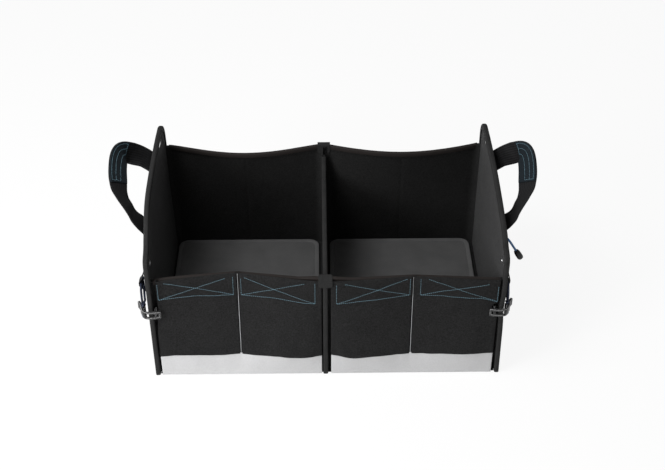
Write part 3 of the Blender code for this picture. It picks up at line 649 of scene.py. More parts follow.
# The eyelets: a plated ring pressed through each side panel for a cord, with a rolled flange
# on both faces.
EYE_FLANGE = 0.0063
EYE_BORE = 0.0029
metal = Finish("eyelet_metal", roughness=0.32, metallic=1.0)
metal.colour(metal.cloud(400, detail=3), (0.42, 0.42, 0.43), (0.62, 0.62, 0.63))
metal.roughness(metal.cloud(300) * 0.25 + 0.22)


def spun(profile, count, closed=False):
    """A (radius, height) profile turned round the z axis in count steps."""
    bm = bmesh.new()
    spine = [bm.verts.new((r, 0, h)) for r, h in profile]
    rims = [bm.edges.new(pair) for pair in zip(spine, spine[1:] + spine[:1] if closed else spine[1:])]
    bmesh.ops.spin(bm, geom=spine + rims, axis=(0, 0, 1), angle=2 * math.pi, steps=count, use_merge=True)
    bmesh.ops.remove_doubles(bm, verts=bm.verts, dist=1e-6)
    bmesh.ops.recalc_face_normals(bm, faces=bm.faces)
    return bm


for side, sign in SIDES:
    reach = SIDE_BOARD / 2 + 0.0002
    lip = [(EYE_BORE, -reach), (EYE_BORE, reach), (EYE_BORE + 0.0005, reach + 0.0008),
           (EYE_FLANGE - 0.0014, reach + 0.0009), (EYE_FLANGE, reach + 0.0002), (EYE_FLANGE, reach),
           (EYE_BORE + 0.0007, reach)]
    bm = spun(lip + [(r, -h) for r, h in reversed(lip[2:])], 32, closed=True)
    bmesh.ops.rotate(bm, verts=bm.verts, matrix=Matrix.Rotation(math.pi / 2, 3, "Y"))
    bmesh.ops.translate(bm, verts=bm.verts, vec=(sign * (SIDE_X + lean(sign, *EYE_AT)), *EYE_AT))
    piece(side + "_eyelet_ring", bm, metal, [side + "_eyelet"], sharp=40)

# The centre divider: a thin board in lining cloth between the two compartments, taller at its two
# ends, where it is sewn to the walls. Tape binds its edges, and a tab crosses each wall's top.
DIVIDER = 0.005
DIVIDER_TOP = 0.183
POST = 0.018
DIP_RUN = 0.022
DIP_KNEE = 0.015
POST_TOP = {-1: FRONT_TOP - 0.0017, 1: BACK_TOP - 0.0187}
ends = {-1: FRONT + 0.002, 1: BACK - 0.002}
halves = []
for end, line in ends.items():
    tall = POST_TOP[end]
    halves.append([Vector((line, tall))] + smooth_line([
        (line - end * POST, tall), (line - end * (POST + DIP_RUN / 3), tall - DIP_KNEE),
        (line - end * (POST + DIP_RUN), DIVIDER_TOP)], 8))
low = steps(ends[-1] + POST + DIP_RUN, ends[1] - POST - DIP_RUN, 40)[1:-1]
ridge = halves[0] + [Vector((y, DIVIDER_TOP)) for y in low] + halves[1][::-1]


def divider_face(u, v, face=1):
    y, high = ridge[round(u * (len(ridge) - 1))]
    z = FOOT + (high - FOOT) * v
    return (face * (DIVIDER / 2 + 0.0004 * mottle(y, face, z, 0.05)), y, z)


sheet("divider_cloth", len(ridge) - 1, 36, divider_face, (0.386, 0.18), lining,
      ["centre_divider"], back=lambda u, v: divider_face(u, v, -1))
for name, end, out in (("front", -1, Vector((0, -1, 0))), ("back", 1, Vector((0, 1, 0)))):
    y, tall = ends[end], POST_TOP[end]
    edge = [Vector((0, y, z)) for z in steps(0.0006, tall, 30)]
    bind(f"divider_{name}_tape", edge, [out] * 31, 0.0026, f"divider_{name}_binding")
edge = [Vector((0, *p)) for p in ridge[1:-1]]
bind("divider_top_tape", edge, off_edge(edge), 0.0026, "divider_top_binding")


def tab(name, route, node, thick=0.0017, width=0.024):
    """A tab of tape with round corners, laid along the route over a wall's top edge."""
    line = smooth_line(route, 6)
    last = len(line) - 1
    whole = length_of(line)

    def at(u, v):
        k = round(u * last)
        gone = length_of(line[: k + 1])
        corner = 0.004
        near = min(gone, whole - gone)
        narrow = 0 if near > corner else corner - math.sqrt(max(corner ** 2 - (corner - near) ** 2, 0))
        return Vector(((v - 0.5) * (width - 2 * narrow), line[k].y, line[k].z))

    sheet(name, last, 12, at, (whole, width), tape_cloth, [node], thick=thick,
          facing=(0, 0, 1), roll=0.0005)


tab("front_tab", [(0, FRONT - 0.0022, 0.2050), (0, FRONT - 0.0023, 0.2120), (0, FRONT - 0.0012, 0.2172),
                  (0, FRONT + 0.0030, 0.2182), (0, FRONT + 0.0185, 0.2182)], "front_centre_tab")
tab("back_tab", [(0, BACK + 0.0022, 0.2210), (0, BACK + 0.0023, 0.2350), (0, BACK + 0.0008, 0.2396),
                 (0, BACK - 0.0030, 0.2402), (0, BACK - 0.0095, 0.2398), (0, BACK - 0.0107, 0.2370),
                 (0, BACK - 0.0107, 0.2215)], "back_centre_tab")

# The front pockets: black cloth from a seam above the floor up to a deep double hem, gathered in at
# the crease. Each hem is sewn down with a box and a cross of blue thread that leaves the mouth open.
POCKET_SET = 0.0015
CREASE_GAP = 0.0020
POCKET_FOLD = {-1: 0.025, 1: 0.012}
FOLD_AT_SEAM = 0.4
SEAM_CREASE = 0.054
SEAMS = {
    (-1, True): ((0, 0.0462), (0.2, 0.0473), (0.4, 0.0472), (0.7, 0.0438), (1, 0.0444)),
    (-1, False): ((0, 0.0455), (0.25, 0.0424), (0.55, 0.0448), (1, 0.0438)),
    (1, False): ((0, 0.0470), (0.31, 0.0410), (0.6, 0.0456), (1, 0.0452)),
    (1, True): ((0, 0.0482), (0.5, 0.0466), (1, 0.0454)),
}
CORNER = {(-1, True): (0.287, 0.2925), (-1, False): (0.0068, 0.0068),
          (1, False): (0.0098, 0.0098), (1, True): (0.2965, 0.2965)}
BESIDE_HOOK = 0.2870
CREASE = (HALF_INNER + HALF_OUTER) / 2
HEM_THICK = 0.0010
HEM_OVER = 0.0030
TURNED_TO = 0.0012
PROUD = 0.0001
POCKET_TOP = 0.2166


def pocket_y(sign, outer, s, z):
    """Front face of the pocket, s from 0 at its corner to 1 at the crease."""
    ease = LEFT_EASE if sign < 0 and outer else 1
    above = (z - SEAM_CREASE) / (FRONT_TOP - SEAM_CREASE)
    if above < 0:
        depth = FOLD_AT_SEAM * z / SEAM_CREASE
        belly = z / SEAM_CREASE
    else:
        depth = FOLD_AT_SEAM + (1 - FOLD_AT_SEAM) * above
        belly = 1 - above * 0.8
    bulge = (0.003 if outer else 0.008) * math.sin(math.pi * clamp(s) ** 0.8)
    return FRONT + POCKET_SET + POCKET_FOLD[sign] * depth * max(s, 0) ** ease - bulge * belly


def corner_x(sign, outer, z):
    """Where a pocket turns back to the wall: right beside the binding, but clear of the hook."""
    high, low = CORNER[sign, outer]
    free = low + (high - low) * clamp((z - 0.10) / 0.06)
    near = clamp((0.017 - abs(z - HOOK_LEVEL)) / 0.006) if outer else 0
    return free + (min(BESIDE_HOOK, free) - free) * near


def pocket_x(sign, outer, s, z):
    crease = CREASE + (CREASE_GAP if outer else -CREASE_GAP)
    corner = corner_x(sign, outer, z)
    return sign * (corner + (crease - corner) * s)


def on_line(knots, s, eased=False):
    """The height at s of a line through (s, height) knots, level beyond its ends."""
    s = min(max(s, knots[0][0]), knots[-1][0])
    for (s0, z0), (s1, z1) in zip(knots, knots[1:]):
        if s <= s1:
            t = (s - s0) / (s1 - s0)
            return z0 + (z1 - z0) * (t * t * (3 - 2 * t) if eased else t)


def seam_z(sign, outer, s):
    """Height of the seam between the black cloth and the grey band."""
    return on_line(SEAMS[sign, outer], s, eased=True)


def rucks(sign, outer, s, z):
    """Loose folds in a pocket's cloth: broad waves, and slanting pulls near the divider."""
    x = pocket_x(sign, outer, s, 0.1)
    calm = min(1, 8 * s + 0.2, 8 * (1 - s) + 0.15)
    wave = 0.0016 * mottle(x, 0, z * 0.7, 0.045) + 0.0006 * mottle(x, 5, z, 0.015)
    slant = mottle((x * 0.8 + sign * z * 0.6), 2, (z * 0.25 - sign * x * 0.2), 0.016)
    reach = math.exp(-((s - 0.12) / 0.22) ** 2) if not outer else 0.35
    low = clamp((0.17 - z) / 0.06)
    return calm * (wave + 0.0016 * slant * reach * low)


BOTTOM_SEAMS = {
    1: ((0.015, 0.1775), (0.44, 0.1785), (0.78, 0.1740), (0.955, 0.1730)),
    2: ((0.079, 0.1680), (0.228, 0.1690), (0.57, 0.1745), (0.975, 0.1725)),
    3: ((0.065, 0.1680), (0.30, 0.1715), (0.54, 0.1740), (0.975, 0.1780)),
    4: ((0.014, 0.1690), (0.196, 0.1760), (0.574, 0.1777), (0.928, 0.1783)),
}
CROSSES = {
    1: (((0.02, 0.1770), (0.863, 0.2080)), ((0.95, 0.1735), (0.094, 0.2110))),
    2: (((0.081, 0.1685), (0.926, 0.2085)), ((0.97, 0.1730), (0.213, 0.2090))),
    3: (((0.07, 0.1685), (0.938, 0.2120)), ((0.97, 0.1785), (0.159, 0.2100))),
    4: (((0.0185, 0.1700), (0.843, 0.2125)), ((0.9225, 0.1785), (0.1135, 0.2075))),
}
SIDE_SEAM_TOPS = {1: (0.2100, 0.2090), 2: (0.2110, 0.2060), 3: (0.2090, 0.2120), 4: (0.2020, 0.2130)}


BLUE_PITCH = 0.0034
BLUE_FAT = 0.00042
blue_thread = Finish("blue_thread", roughness=0.55, specular=0.4)
blue_thread.colour(blue_thread.cloud(700), (0.085, 0.18, 0.23), (0.20, 0.32, 0.38))

for number, (sign, outer) in enumerate(((-1, True), (-1, False), (1, False), (1, True)), 1):
    gusset, fronts, flange = 5, 56, 3
    columns = gusset + fronts + flange
    low_rows, high_rows = 30, 14
    rows = low_rows + 2 + high_rows
    bottom = BOTTOM_SEAMS[number]

    def skin(s, z, proud=0.0):
        """A point on the pocket's front; above the hem's edge the cloth is double."""
        hem = on_line(bottom, s) - HEM_OVER
        double = HEM_THICK if z > hem else 0
        y = pocket_y(sign, outer, s, z) - rucks(sign, outer, s, z) - double - proud
        return Vector((pocket_x(sign, outer, s, z), y, z))

    def cloth_at(u, v):
        column, row = round(u * columns), round(v * rows)
        s = clamp((column - gusset) / fronts)
        low = seam_z(sign, outer, s) - 0.0008
        hem = on_line(bottom, s) - HEM_OVER
        if row <= low_rows:
            z = low + (hem - 0.0005 - low) * row / low_rows
        elif row == low_rows + 1:
            z = hem + 0.0002
        else:
            z = hem + 0.0002 + (POCKET_TOP - hem - 0.0002) * (row - low_rows - 1) / (high_rows + 1)
        point = skin(s, z)
        if column < gusset:
            corner = corner_x(sign, outer, z)
            back_to = front_board(sign, sign * corner, z) - TURNED_TO
            t = 1 - column / gusset
            point.x = sign * (corner + (0.0007 if outer else -0.0007) * math.sin(math.pi * t))
            point.y += (back_to - point.y) * t
        elif column > gusset + fronts:
            t = (column - gusset - fronts) / flange
            point.y += 0.005 * t
            point.x += sign * (-1 if outer else 1) * 0.0004 * t
        return point

    sheet(f"pocket_{number}", columns, rows, cloth_at, (0.165, 0.17), black_cloth,
          [f"front_pocket_{number}"], thick=0.0013, roll=0.0004)
    runs = [[(s, on_line(bottom, s)) for s in steps(bottom[0][0], bottom[-1][0], 60)]]
    runs += [[(s, z) for z in steps(foot, tall, 20)]
             for (s, foot), tall in zip((bottom[0], bottom[-1]), SIDE_SEAM_TOPS[number])]
    runs += [zip(steps(s0, s1, 60), steps(z0, z1, 60)) for (s0, z0), (s1, z1) in CROSSES[number]]
    lines = [([skin(s, z, PROUD) for s, z in run], (0, -1, 0)) for run in runs]
    stitches(f"pocket_{number}_cross_stitch", lines, blue_thread, BLUE_PITCH, BLUE_FAT)

# The grey bands: light grey cloth below both pockets of each half, sewn to the black above, turned
# in to the wall at both ends, and hemmed just above the floor.
BAND_HEM = 0.0085
grey_cloth = woven("grey_cloth", (0.45, 0.45, 0.455), (0.60, 0.60, 0.605), 0.0006, 0.00012, patch=0.3,
                   roughness=0.70, sheen=0.05, specular=0.3)
grey_thread = Finish("grey_thread", roughness=0.6)
grey_thread.colour(grey_thread.cloud(800), (0.40, 0.40, 0.41), (0.55, 0.55, 0.56))
for side, sign in SIDES:
    turn_in, fronts = 5, 48
    half = turn_in + fronts

    def band_point(outer, s, z, proud=0.0):
        ruck = rucks(sign, outer, s, seam_z(sign, outer, s)) * z / 0.05
        ruck += 0.0003 * mottle(s * 2, z * 8, sign + outer * 5, 0.2)
        seam_dip = 0.0004 * math.exp(-((z - BAND_HEM) / 0.0010) ** 2)
        hem = 0.0004 if z < BAND_HEM else 0
        x = corner_x(sign, outer, z) + (CREASE - corner_x(sign, outer, z)) * s
        return Vector((sign * x, pocket_y(sign, outer, s, z) + 0.0008 - ruck + seam_dip - hem - proud, z))

    def band_at(u, v):
        column = round(u * 2 * half)
        outer = column > half
        step = 2 * half - column if outer else column
        s = max(step - turn_in, 0) / fronts
        z = 0.0008 + (seam_z(sign, outer, s) + 0.0010 - 0.0008) * v
        point = band_point(outer, s, z)
        if step < turn_in:
            t = 1 - step / turn_in
            low_z = 0.0034 if t > 0.3 else 0.0008
            z = low_z + (seam_z(sign, outer, 0) + 0.001 - low_z) * v
            back_to = front_board(sign, sign * corner_x(sign, outer, z), z) - TURNED_TO
            point = Vector((point.x, point.y + (back_to - point.y) * t, z))
        return point

    sheet("grey_band_" + side, 2 * half, 20, band_at, (0.31, 0.05), grey_cloth,
          ["front_band_" + side], thick=0.0012, roll=0.0003)
    lines = [([band_point(outer, s, BAND_HEM, PROUD) for s in steps(0.01, 0.995, 60)], (0, -1, 0))
             for outer in (False, True)]
    stitches(f"grey_band_hem_stitch_{side}", lines, grey_thread, pitch=0.0030, fat=0.00028)

# The piping: a light reflective cord covered in grey cloth, sewn into each front crease from the
# hem's top edge down to the grey band.
PIPING = 0.0030
PIPING_SEEN = 0.0013
PIPING_FOOT = 0.0464


def ring_of(count, radius):
    turns = [2 * math.pi * k / count for k in range(count)]
    return [(radius * math.cos(a), radius * math.sin(a)) for a in turns]


def sweep(name, line, across, section, finish, nodes=(), sharp=None):
    """A closed section of (across, up) points carried along a line, with its two ends filled."""
    last, count = len(line) - 1, len(section)
    around = length_of([Vector(p) for p in section + section[:1]])
    bm = bmesh.new()
    bmesh.ops.create_grid(bm, x_segments=last, y_segments=count, size=0.5)
    weave = bm.loops.layers.uv.new("cloth")
    whole = length_of(line)
    for face in bm.faces:
        for loop in face.loops:
            loop[weave].uv = ((loop.vert.co.x + 0.5) * whole, (loop.vert.co.y + 0.5) * around)
    for v in bm.verts:
        k, (a, b) = round((v.co.x + 0.5) * last), section[round((v.co.y + 0.5) * count) % count]
        run = run_at(line, k).normalized()
        wide = (across[k] - run * across[k].dot(run)).normalized()
        v.co = line[k] + wide * a + run.cross(wide) * b
    bmesh.ops.remove_doubles(bm, verts=bm.verts, dist=1e-7)
    bmesh.ops.holes_fill(bm, edges=[e for e in bm.edges if e.is_boundary])
    bmesh.ops.recalc_face_normals(bm, faces=bm.faces)
    return piece(name, bm, finish, nodes, sharp=sharp)


piping_cloth = Finish("reflective_piping", roughness=0.42, specular=0.6)
piping_along, piping_over = piping_cloth.across()
piping_cloth.colour(piping_cloth.cloud(500) * 0.5 + (piping_along * (math.pi / 0.0007)).sine().size() * 0.5,
                    (0.20, 0.21, 0.22), (0.48, 0.49, 0.50))
piping_cloth.relief(piping_cloth.cloud(1200), 0.0001)
for side, sign in SIDES:
    line = []
    for z in steps(PIPING_FOOT, FRONT_TOP - PIPING * 1.5, 24):
        x = sign * CREASE + 0.0004 * mottle(z, 0, 0, 0.02)
        line.append(Vector((x, pocket_y(sign, False, 1, z) + PIPING / 2, z)))
    sweep("piping_" + side, line, [Vector((1, 0, 0))] * 25, ring_of(10, PIPING_SEEN / 2), piping_cloth,
          ["crease_piping_" + side])

# The handles: wide ribbed webbing, folded double over the grip. Each tail is sewn flat to the side
# panel; between them the strap bows outward and twists over, and blue thread closes the grip's fold.
WEBBING = 0.040
WEB_THICK = 0.0028
HANDLE_LEAVES = 0.250
HANDLE_HALF = 0.088
HANDLE_STANDS = {-1: 0.0012, 1: -0.0034}
HANDLE_WAY = [
    ((0.006, 0.099, 0.032), (0.009, 0.066, 0.012)),
    ((0.019, 0.096, 0.047), (0.023, 0.064, 0.025)),
    ((0.033, 0.084, 0.062), (0.037, 0.062, 0.032)),
    ((0.044, 0.068, 0.075), (0.045, 0.064, 0.035)),
    ((0.055, 0.054, 0.083), (0.046, 0.054, 0.043)),
    ((0.062, 0.041, 0.084), (0.045, 0.043, 0.050)),
    ((0.065, 0.024, 0.082), (0.044, 0.032, 0.054)),
    ((0.065, 0.003, 0.079), (0.043, 0.016, 0.055)),
    ((0.063, -0.020, 0.074), (0.041, -0.004, 0.053)),
    ((0.060, -0.044, 0.070), (0.038, -0.024, 0.049)),
    ((0.055, -0.063, 0.064), (0.036, -0.037, 0.043)),
    ((0.046, -0.078, 0.058), (0.033, -0.046, 0.037)),
    ((0.034, -0.092, 0.047), (0.027, -0.056, 0.031)),
    ((0.023, -0.101, 0.031), (0.021, -0.063, 0.022)),
    ((0.013, -0.108, 0.016), (0.010, -0.068, 0.015)),
]
TAIL = 0.045
PANEL_OUT = 0.303
SEAT = 0.0008 + WEB_THICK / 2
GRIP = (6.55, 12.05)
GRIP_SLANT = (-0.8, 0.7)
GRIP_FOLD = 0.0022


def web_of(name, dark, light):
    """Heavy webbing: ribs along it, crossed by picks that bend over each rib."""
    made = Finish(name, roughness=0.66, sheen=0.01, specular=0.10)
    along, over = made.across()
    ribs = (over * (math.pi / 0.0034)).sine().size()
    picks = ((along * (math.pi / 0.0011)) + (over * (math.pi / 0.0016)).sine() * 1.5).sine().size()
    made.colour(ribs.power(2.0) * 0.5 + picks * 0.15 + made.cloud(60) * 0.35, dark, light)
    made.relief(ribs * 0.8 + picks * 0.5, 0.0003)
    return made


webbing = web_of("handle_webbing", (0.0025, 0.0025, 0.0028), (0.0190, 0.0190, 0.0200))
grip_webbing = web_of("grip_webbing", (0.0035, 0.0058, 0.0080), (0.0150, 0.0215, 0.0270))


def strap_section(width, thick, parts=10):
    """A flat strap's section with rounded edges: along its top, round, and back along its underside."""
    edge = thick / 2
    flat = width / 2 - edge
    top = [(x, edge) for x in steps(-flat, flat, parts)]
    tip = [(flat + edge * math.sin(k * math.pi / 4), edge * math.cos(k * math.pi / 4)) for k in (1, 2, 3)]
    return top + tip + [(-a, -b) for a, b in top + tip]


def handle_line(sign, parts):
    """The strap's middle line and the way across it, from its back tail to its front one."""
    wide, narrow = HANDLE_HALF + WEBBING / 2, HANDLE_HALF - WEBBING / 2
    tails = [[((SEAT, way * wide, z), (SEAT, way * narrow, z)) for z in (-TAIL, -TAIL / 2, 0)]
             for way in (1, -1)]
    middle, across = [], []
    for outer, inner in tails[0] + HANDLE_WAY + tails[1][::-1]:
        x, y, z = (Vector(outer) + Vector(inner)) / 2
        z += HANDLE_STANDS[sign] * clamp(z / 0.03)
        wide = Vector(outer) - Vector(inner)
        middle.append((sign * (PANEL_OUT + lean(sign, y, HANDLE_LEAVES + z) + x), y, HANDLE_LEAVES + z))
        across.append((sign * wide.x, wide.y, wide.z))
    return smooth_line(middle, parts), [w.normalized() for w in smooth_line(across, parts)]


for side, sign in SIDES:
    parts = 10
    middle, across = handle_line(sign, parts)
    sweep(side + "_handle_webbing", middle, across, strap_section(WEBBING, WEB_THICK), webbing,
          [side + "_handle"], sharp=60)
    last = len(middle) - 1

    def on_strap(knot, v, face, proud):
        """A spot on the strap and the way it faces: knot counts along it, v runs across it."""
        at = min(max(knot * parts, 0), last - 1)
        spots = []
        for k in (int(at), int(at) + 1):
            run = run_at(middle, k).normalized()
            wide = (across[k] - run * across[k].dot(run)).normalized()
            up = run.cross(wide) * face
            spots.append((middle[k] + wide * WEBBING * (v - 0.5) + up * (WEB_THICK / 2 + proud), up))
        return [a.lerp(b, at - int(at)) for a, b in zip(*spots)]

    def grip_spot(v, t, face, proud):
        """A point of the folded grip: v across the strap, t from its back end to its front one."""
        start, end = [knot + slant * (v - 0.5) for knot, slant in zip(GRIP, GRIP_SLANT)]
        return on_strap(start + (end - start) * t, v, face, proud)

    sheet(side + "_grip_fold", 12, 60, lambda u, v: grip_spot(0.04 + 0.94 * u, v, sign, GRIP_FOLD)[0],
          (WEBBING, 0.09), grip_webbing, thick=GRIP_FOLD,
          facing=grip_spot(0.5, 0.5, sign, 0)[1], roll=0.0005)
    grip = []
    for face, proud in ((sign, GRIP_FOLD), (-sign, PROUD)):
        runs = [[grip_spot(v, t, face, proud) for t in steps(0.03, 0.97, 60)] for v in (0.40, 0.66, 0.89)]
        runs += [[grip_spot(v, t, face, proud) for v in steps(0.40, 0.89, 12)] for t in (0.03, 0.97)]
        grip += [([spot[0] for spot in spots], [spot[1] for spot in spots]) for spots in runs]
    stitches(side + "_grip_stitch", grip, blue_thread, BLUE_PITCH, BLUE_FAT)
    tails = []
    for y in (HANDLE_HALF, -HANDLE_HALF):
        off = PANEL_OUT + SEAT + WEB_THICK / 2 + 0.0001
        box = [Vector((sign * (off + lean(sign, y, z)), y + aside, z))
               for aside, z in ((-0.015, 0.209), (0.015, 0.209), (0.015, 0.243), (-0.015, 0.243))]
        corners = ((0, 1), (1, 2), (2, 3), (3, 0), (0, 2), (1, 3))
        tails += [([box[a], box[b]], (sign, 0, 0)) for a, b in corners]
    stitches(side + "_tail_stitch", tails, black_thread, pitch=0.0034, fat=0.00048)

# The hook loops: narrow webbing folded into a loop and sewn to each side panel, with the hook's
# cord through it.
LOOP_TOP = 0.246
LOOP_FOOT = 0.183
LOOP_WIDE = 0.012
LOOP_AT = FRONT + 0.0115 + LOOP_WIDE / 2
LOOP_REACH = {-1: 0.0135, 1: 0.0100}
LOOP_THICK = 0.0016
LOOP_TIP = (LOOP_TOP + LOOP_FOOT) / 2 - 0.010
LOOP_STANDS = {-1: 0, 1: 0.0020}
for side, sign in SIDES:
    start = PANEL_OUT + 0.0004 + lean(sign, LOOP_AT, LOOP_TOP)
    far, half = PANEL_OUT + 0.0003 + LOOP_REACH[sign] + LOOP_STANDS[sign], LOOP_THICK / 2
    knots = [(start + half, LOOP_TOP), (start + half, LOOP_TOP - 0.006),
             (start + (far - start) * 0.42, LOOP_TIP + 0.016), (far - half - 0.0004, LOOP_TIP + 0.004),
             (far - half, LOOP_TIP), (far - half - 0.0004, LOOP_TIP - 0.004),
             (start + (far - start) * 0.5, LOOP_TIP - 0.011), (start + half, LOOP_FOOT + 0.005),
             (start + half, LOOP_FOOT)]
    line = smooth_line([(sign * x, LOOP_AT, z) for x, z in knots], 5)
    sweep(side + "_hook_loop", line, [Vector((0, 1, 0))] * len(line), strap_section(LOOP_WIDE, LOOP_THICK, 6),
          webbing, [side + "_anchor_loop"], sharp=60)

# The hook cords: dark blue braided elastic, doubled from the knot behind the webbing loop to a tie
# above the hook. One strand runs on through the hook's eye to a second knot, and the hook hangs on it.
CORD = 0.004
KNOT = 0.009
HOOK_HIGH = 0.015
PIVOT = (0.314, FRONT + 0.008)
STRAND_APART = {-1: (0.0052, 0.0010), 1: (0.0018, 0.0036)}
elastic = Finish("elastic_cord", roughness=0.55, sheen=0.1, specular=0.35)
cord_along, cord_around = elastic.across()
twist = 2 * math.pi * 4 / (math.pi * CORD)
strands = ((cord_along * twist * 0.9 + cord_around * twist).sine().size()).larger(
    (cord_along * twist * 0.9 - cord_around * twist).sine().size())
elastic.colour(strands * 0.7 + elastic.cloud(500) * 0.3, (0.025, 0.065, 0.16), (0.10, 0.23, 0.46))
elastic.relief(strands, 0.00035)


def carried(line, first):
    """The way across at each point of a line, turned with it from the first."""
    ways = [Vector(first)]
    for i in range(1, len(line)):
        run = run_at(line, i).normalized()
        ways.append((ways[-1] - run * ways[-1].dot(run)).normalized())
    return ways


def knot(name, centre, finish):
    """A small overhand knot of the cord."""
    scale = (KNOT - CORD * 0.95) / 6
    line = []
    for k in range(49):
        a = 2 * math.pi * k / 48
        line.append(Vector(centre) + scale * Vector((
            math.sin(a) + 2 * math.sin(2 * a), math.cos(a) - 2 * math.cos(2 * a), -1.3 * math.sin(3 * a))))
    sweep(name, line, carried(line, (0, 0, 1)), ring_of(10, CORD * 0.46), finish)


def cord(name, route, parts, first, finish, nodes=()):
    """A cord along a smooth line through the route. Gives its object and the line."""
    line = smooth_line(route, parts)
    return sweep(name, line, carried(line, first), ring_of(14, CORD / 2), finish, nodes), line


dark_elastic = Finish("hook_cord_elastic", roughness=0.6, specular=0.3)
cord_along, cord_around = dark_elastic.across()
flecks = (cord_along * 1700 + cord_around * 900).sine() * (cord_along * 1700 - cord_around * 900).sine()
dark_elastic.colour(flecks.larger(0.0).power(1.5), (0.004, 0.005, 0.011), (0.034, 0.052, 0.115))
dark_elastic.relief(flecks, 0.0003)
for side, sign in SIDES:
    out = PANEL_OUT + LOOP_REACH[sign] + LOOP_STANDS[sign] - 0.0017 - CORD / 2
    behind = FRONT + 0.0115 + LOOP_WIDE + KNOT / 2 + 0.0003
    foot = HOOK_LEVEL - HOOK_HIGH / 2 - 0.0003 - KNOT / 2
    route = [
        (out, behind, LOOP_TIP), (out, LOOP_AT, LOOP_TIP), (out, FRONT + 0.0085, LOOP_TIP - 0.0010),
        (out + (PIVOT[0] - out) * 0.15, FRONT + 0.0045, LOOP_TIP - 0.009),
        (out + (PIVOT[0] - out) * 0.6, FRONT + 0.0055, (LOOP_TIP + HOOK_LEVEL) / 2 + 0.004),
        (*PIVOT, HOOK_LEVEL + HOOK_HIGH), (*PIVOT, HOOK_LEVEL), (*PIVOT, foot),
    ]
    _, line = cord(side + "_hook_elastic", [(sign * x, y, z) for x, y, z in route], 8, (1, 0, 0),
                   dark_elastic, [side + "_hook_cord"])
    apart, back = STRAND_APART[sign]
    tie = HOOK_LEVEL + HOOK_HIGH / 2 + 0.0003 + KNOT / 2
    route = [
        (out - 0.0010, behind - 0.0010, LOOP_TIP - 0.0040), (out - apart * 0.6, LOOP_AT, LOOP_TIP - 0.0060),
        (out - apart * 0.8, FRONT + 0.0085 + back, LOOP_TIP - 0.0120),
        (PIVOT[0] - apart, FRONT + 0.0065 + back, (LOOP_TIP + HOOK_LEVEL) / 2 + 0.0020),
        (PIVOT[0] - apart * 0.9, PIVOT[1] + back, tie + 0.0090),
        (PIVOT[0] - apart * 0.2, PIVOT[1], tie + 0.0010),
    ]
    cord(side + "_doubled_elastic", [(sign * x, y, z) for x, y, z in route], 8, (1, 0, 0), dark_elastic)
    knot(side + "_tie_knot", (sign * (PIVOT[0] - apart * 0.25), PIVOT[1], tie), dark_elastic)
    knot(side + "_loop_knot", line[0], dark_elastic)
    knot(side + "_hook_knot", line[-1], elastic)

# The hooks: one dark moulded piece each, a slotted bow round the panel's front edge, a finger that
# points back outside it, an eye for the cord and a short leg inside.
HOOK_THICK = 0.004
HOOK_EYE = 0.0052
EYE_WALL = 0.0022
HOOK_BOW = [(-0.0225, -0.0040), (-0.0120, -0.0062), (0, -0.0062), (0.0060, -0.0035), (0.0095, 0.0030),
            (0.0115, 0.0110), (0.0145, 0.0180), (0.0185, 0.0240)]
HOOK_SLOT = (0.0235, 0.0082)
HOOK_END_ROUND = 0.0052
HOOK_EDGE = 0.305
HOOK_LEG = 0.2915
plastic = Finish("dark_plastic", roughness=0.34, specular=0.28)
plastic.colour(plastic.cloud(60), (0.009, 0.009, 0.0095), (0.020, 0.020, 0.021))
plastic.roughness(plastic.cloud(1400, detail=3) * 0.2 + 0.30)
plastic.relief(plastic.cloud(2200), 0.00006)
# The hooks' bevelled edges take this lighter grey: a painted highlight along the rims of the dark plastic.
edge_highlight = Finish("plastic_edge_highlight", roughness=0.36, specular=0.5)
edge_highlight.colour(edge_highlight.cloud(500, detail=3), (0.12, 0.12, 0.12), (0.34, 0.34, 0.34))


def prism(outline, half):
    """A closed upright block over an (x, y) outline, half of it below the hook's level and half above."""
    return block([(x, y, HOOK_LEVEL - half) for x, y in outline], (0, 0, 2 * half))


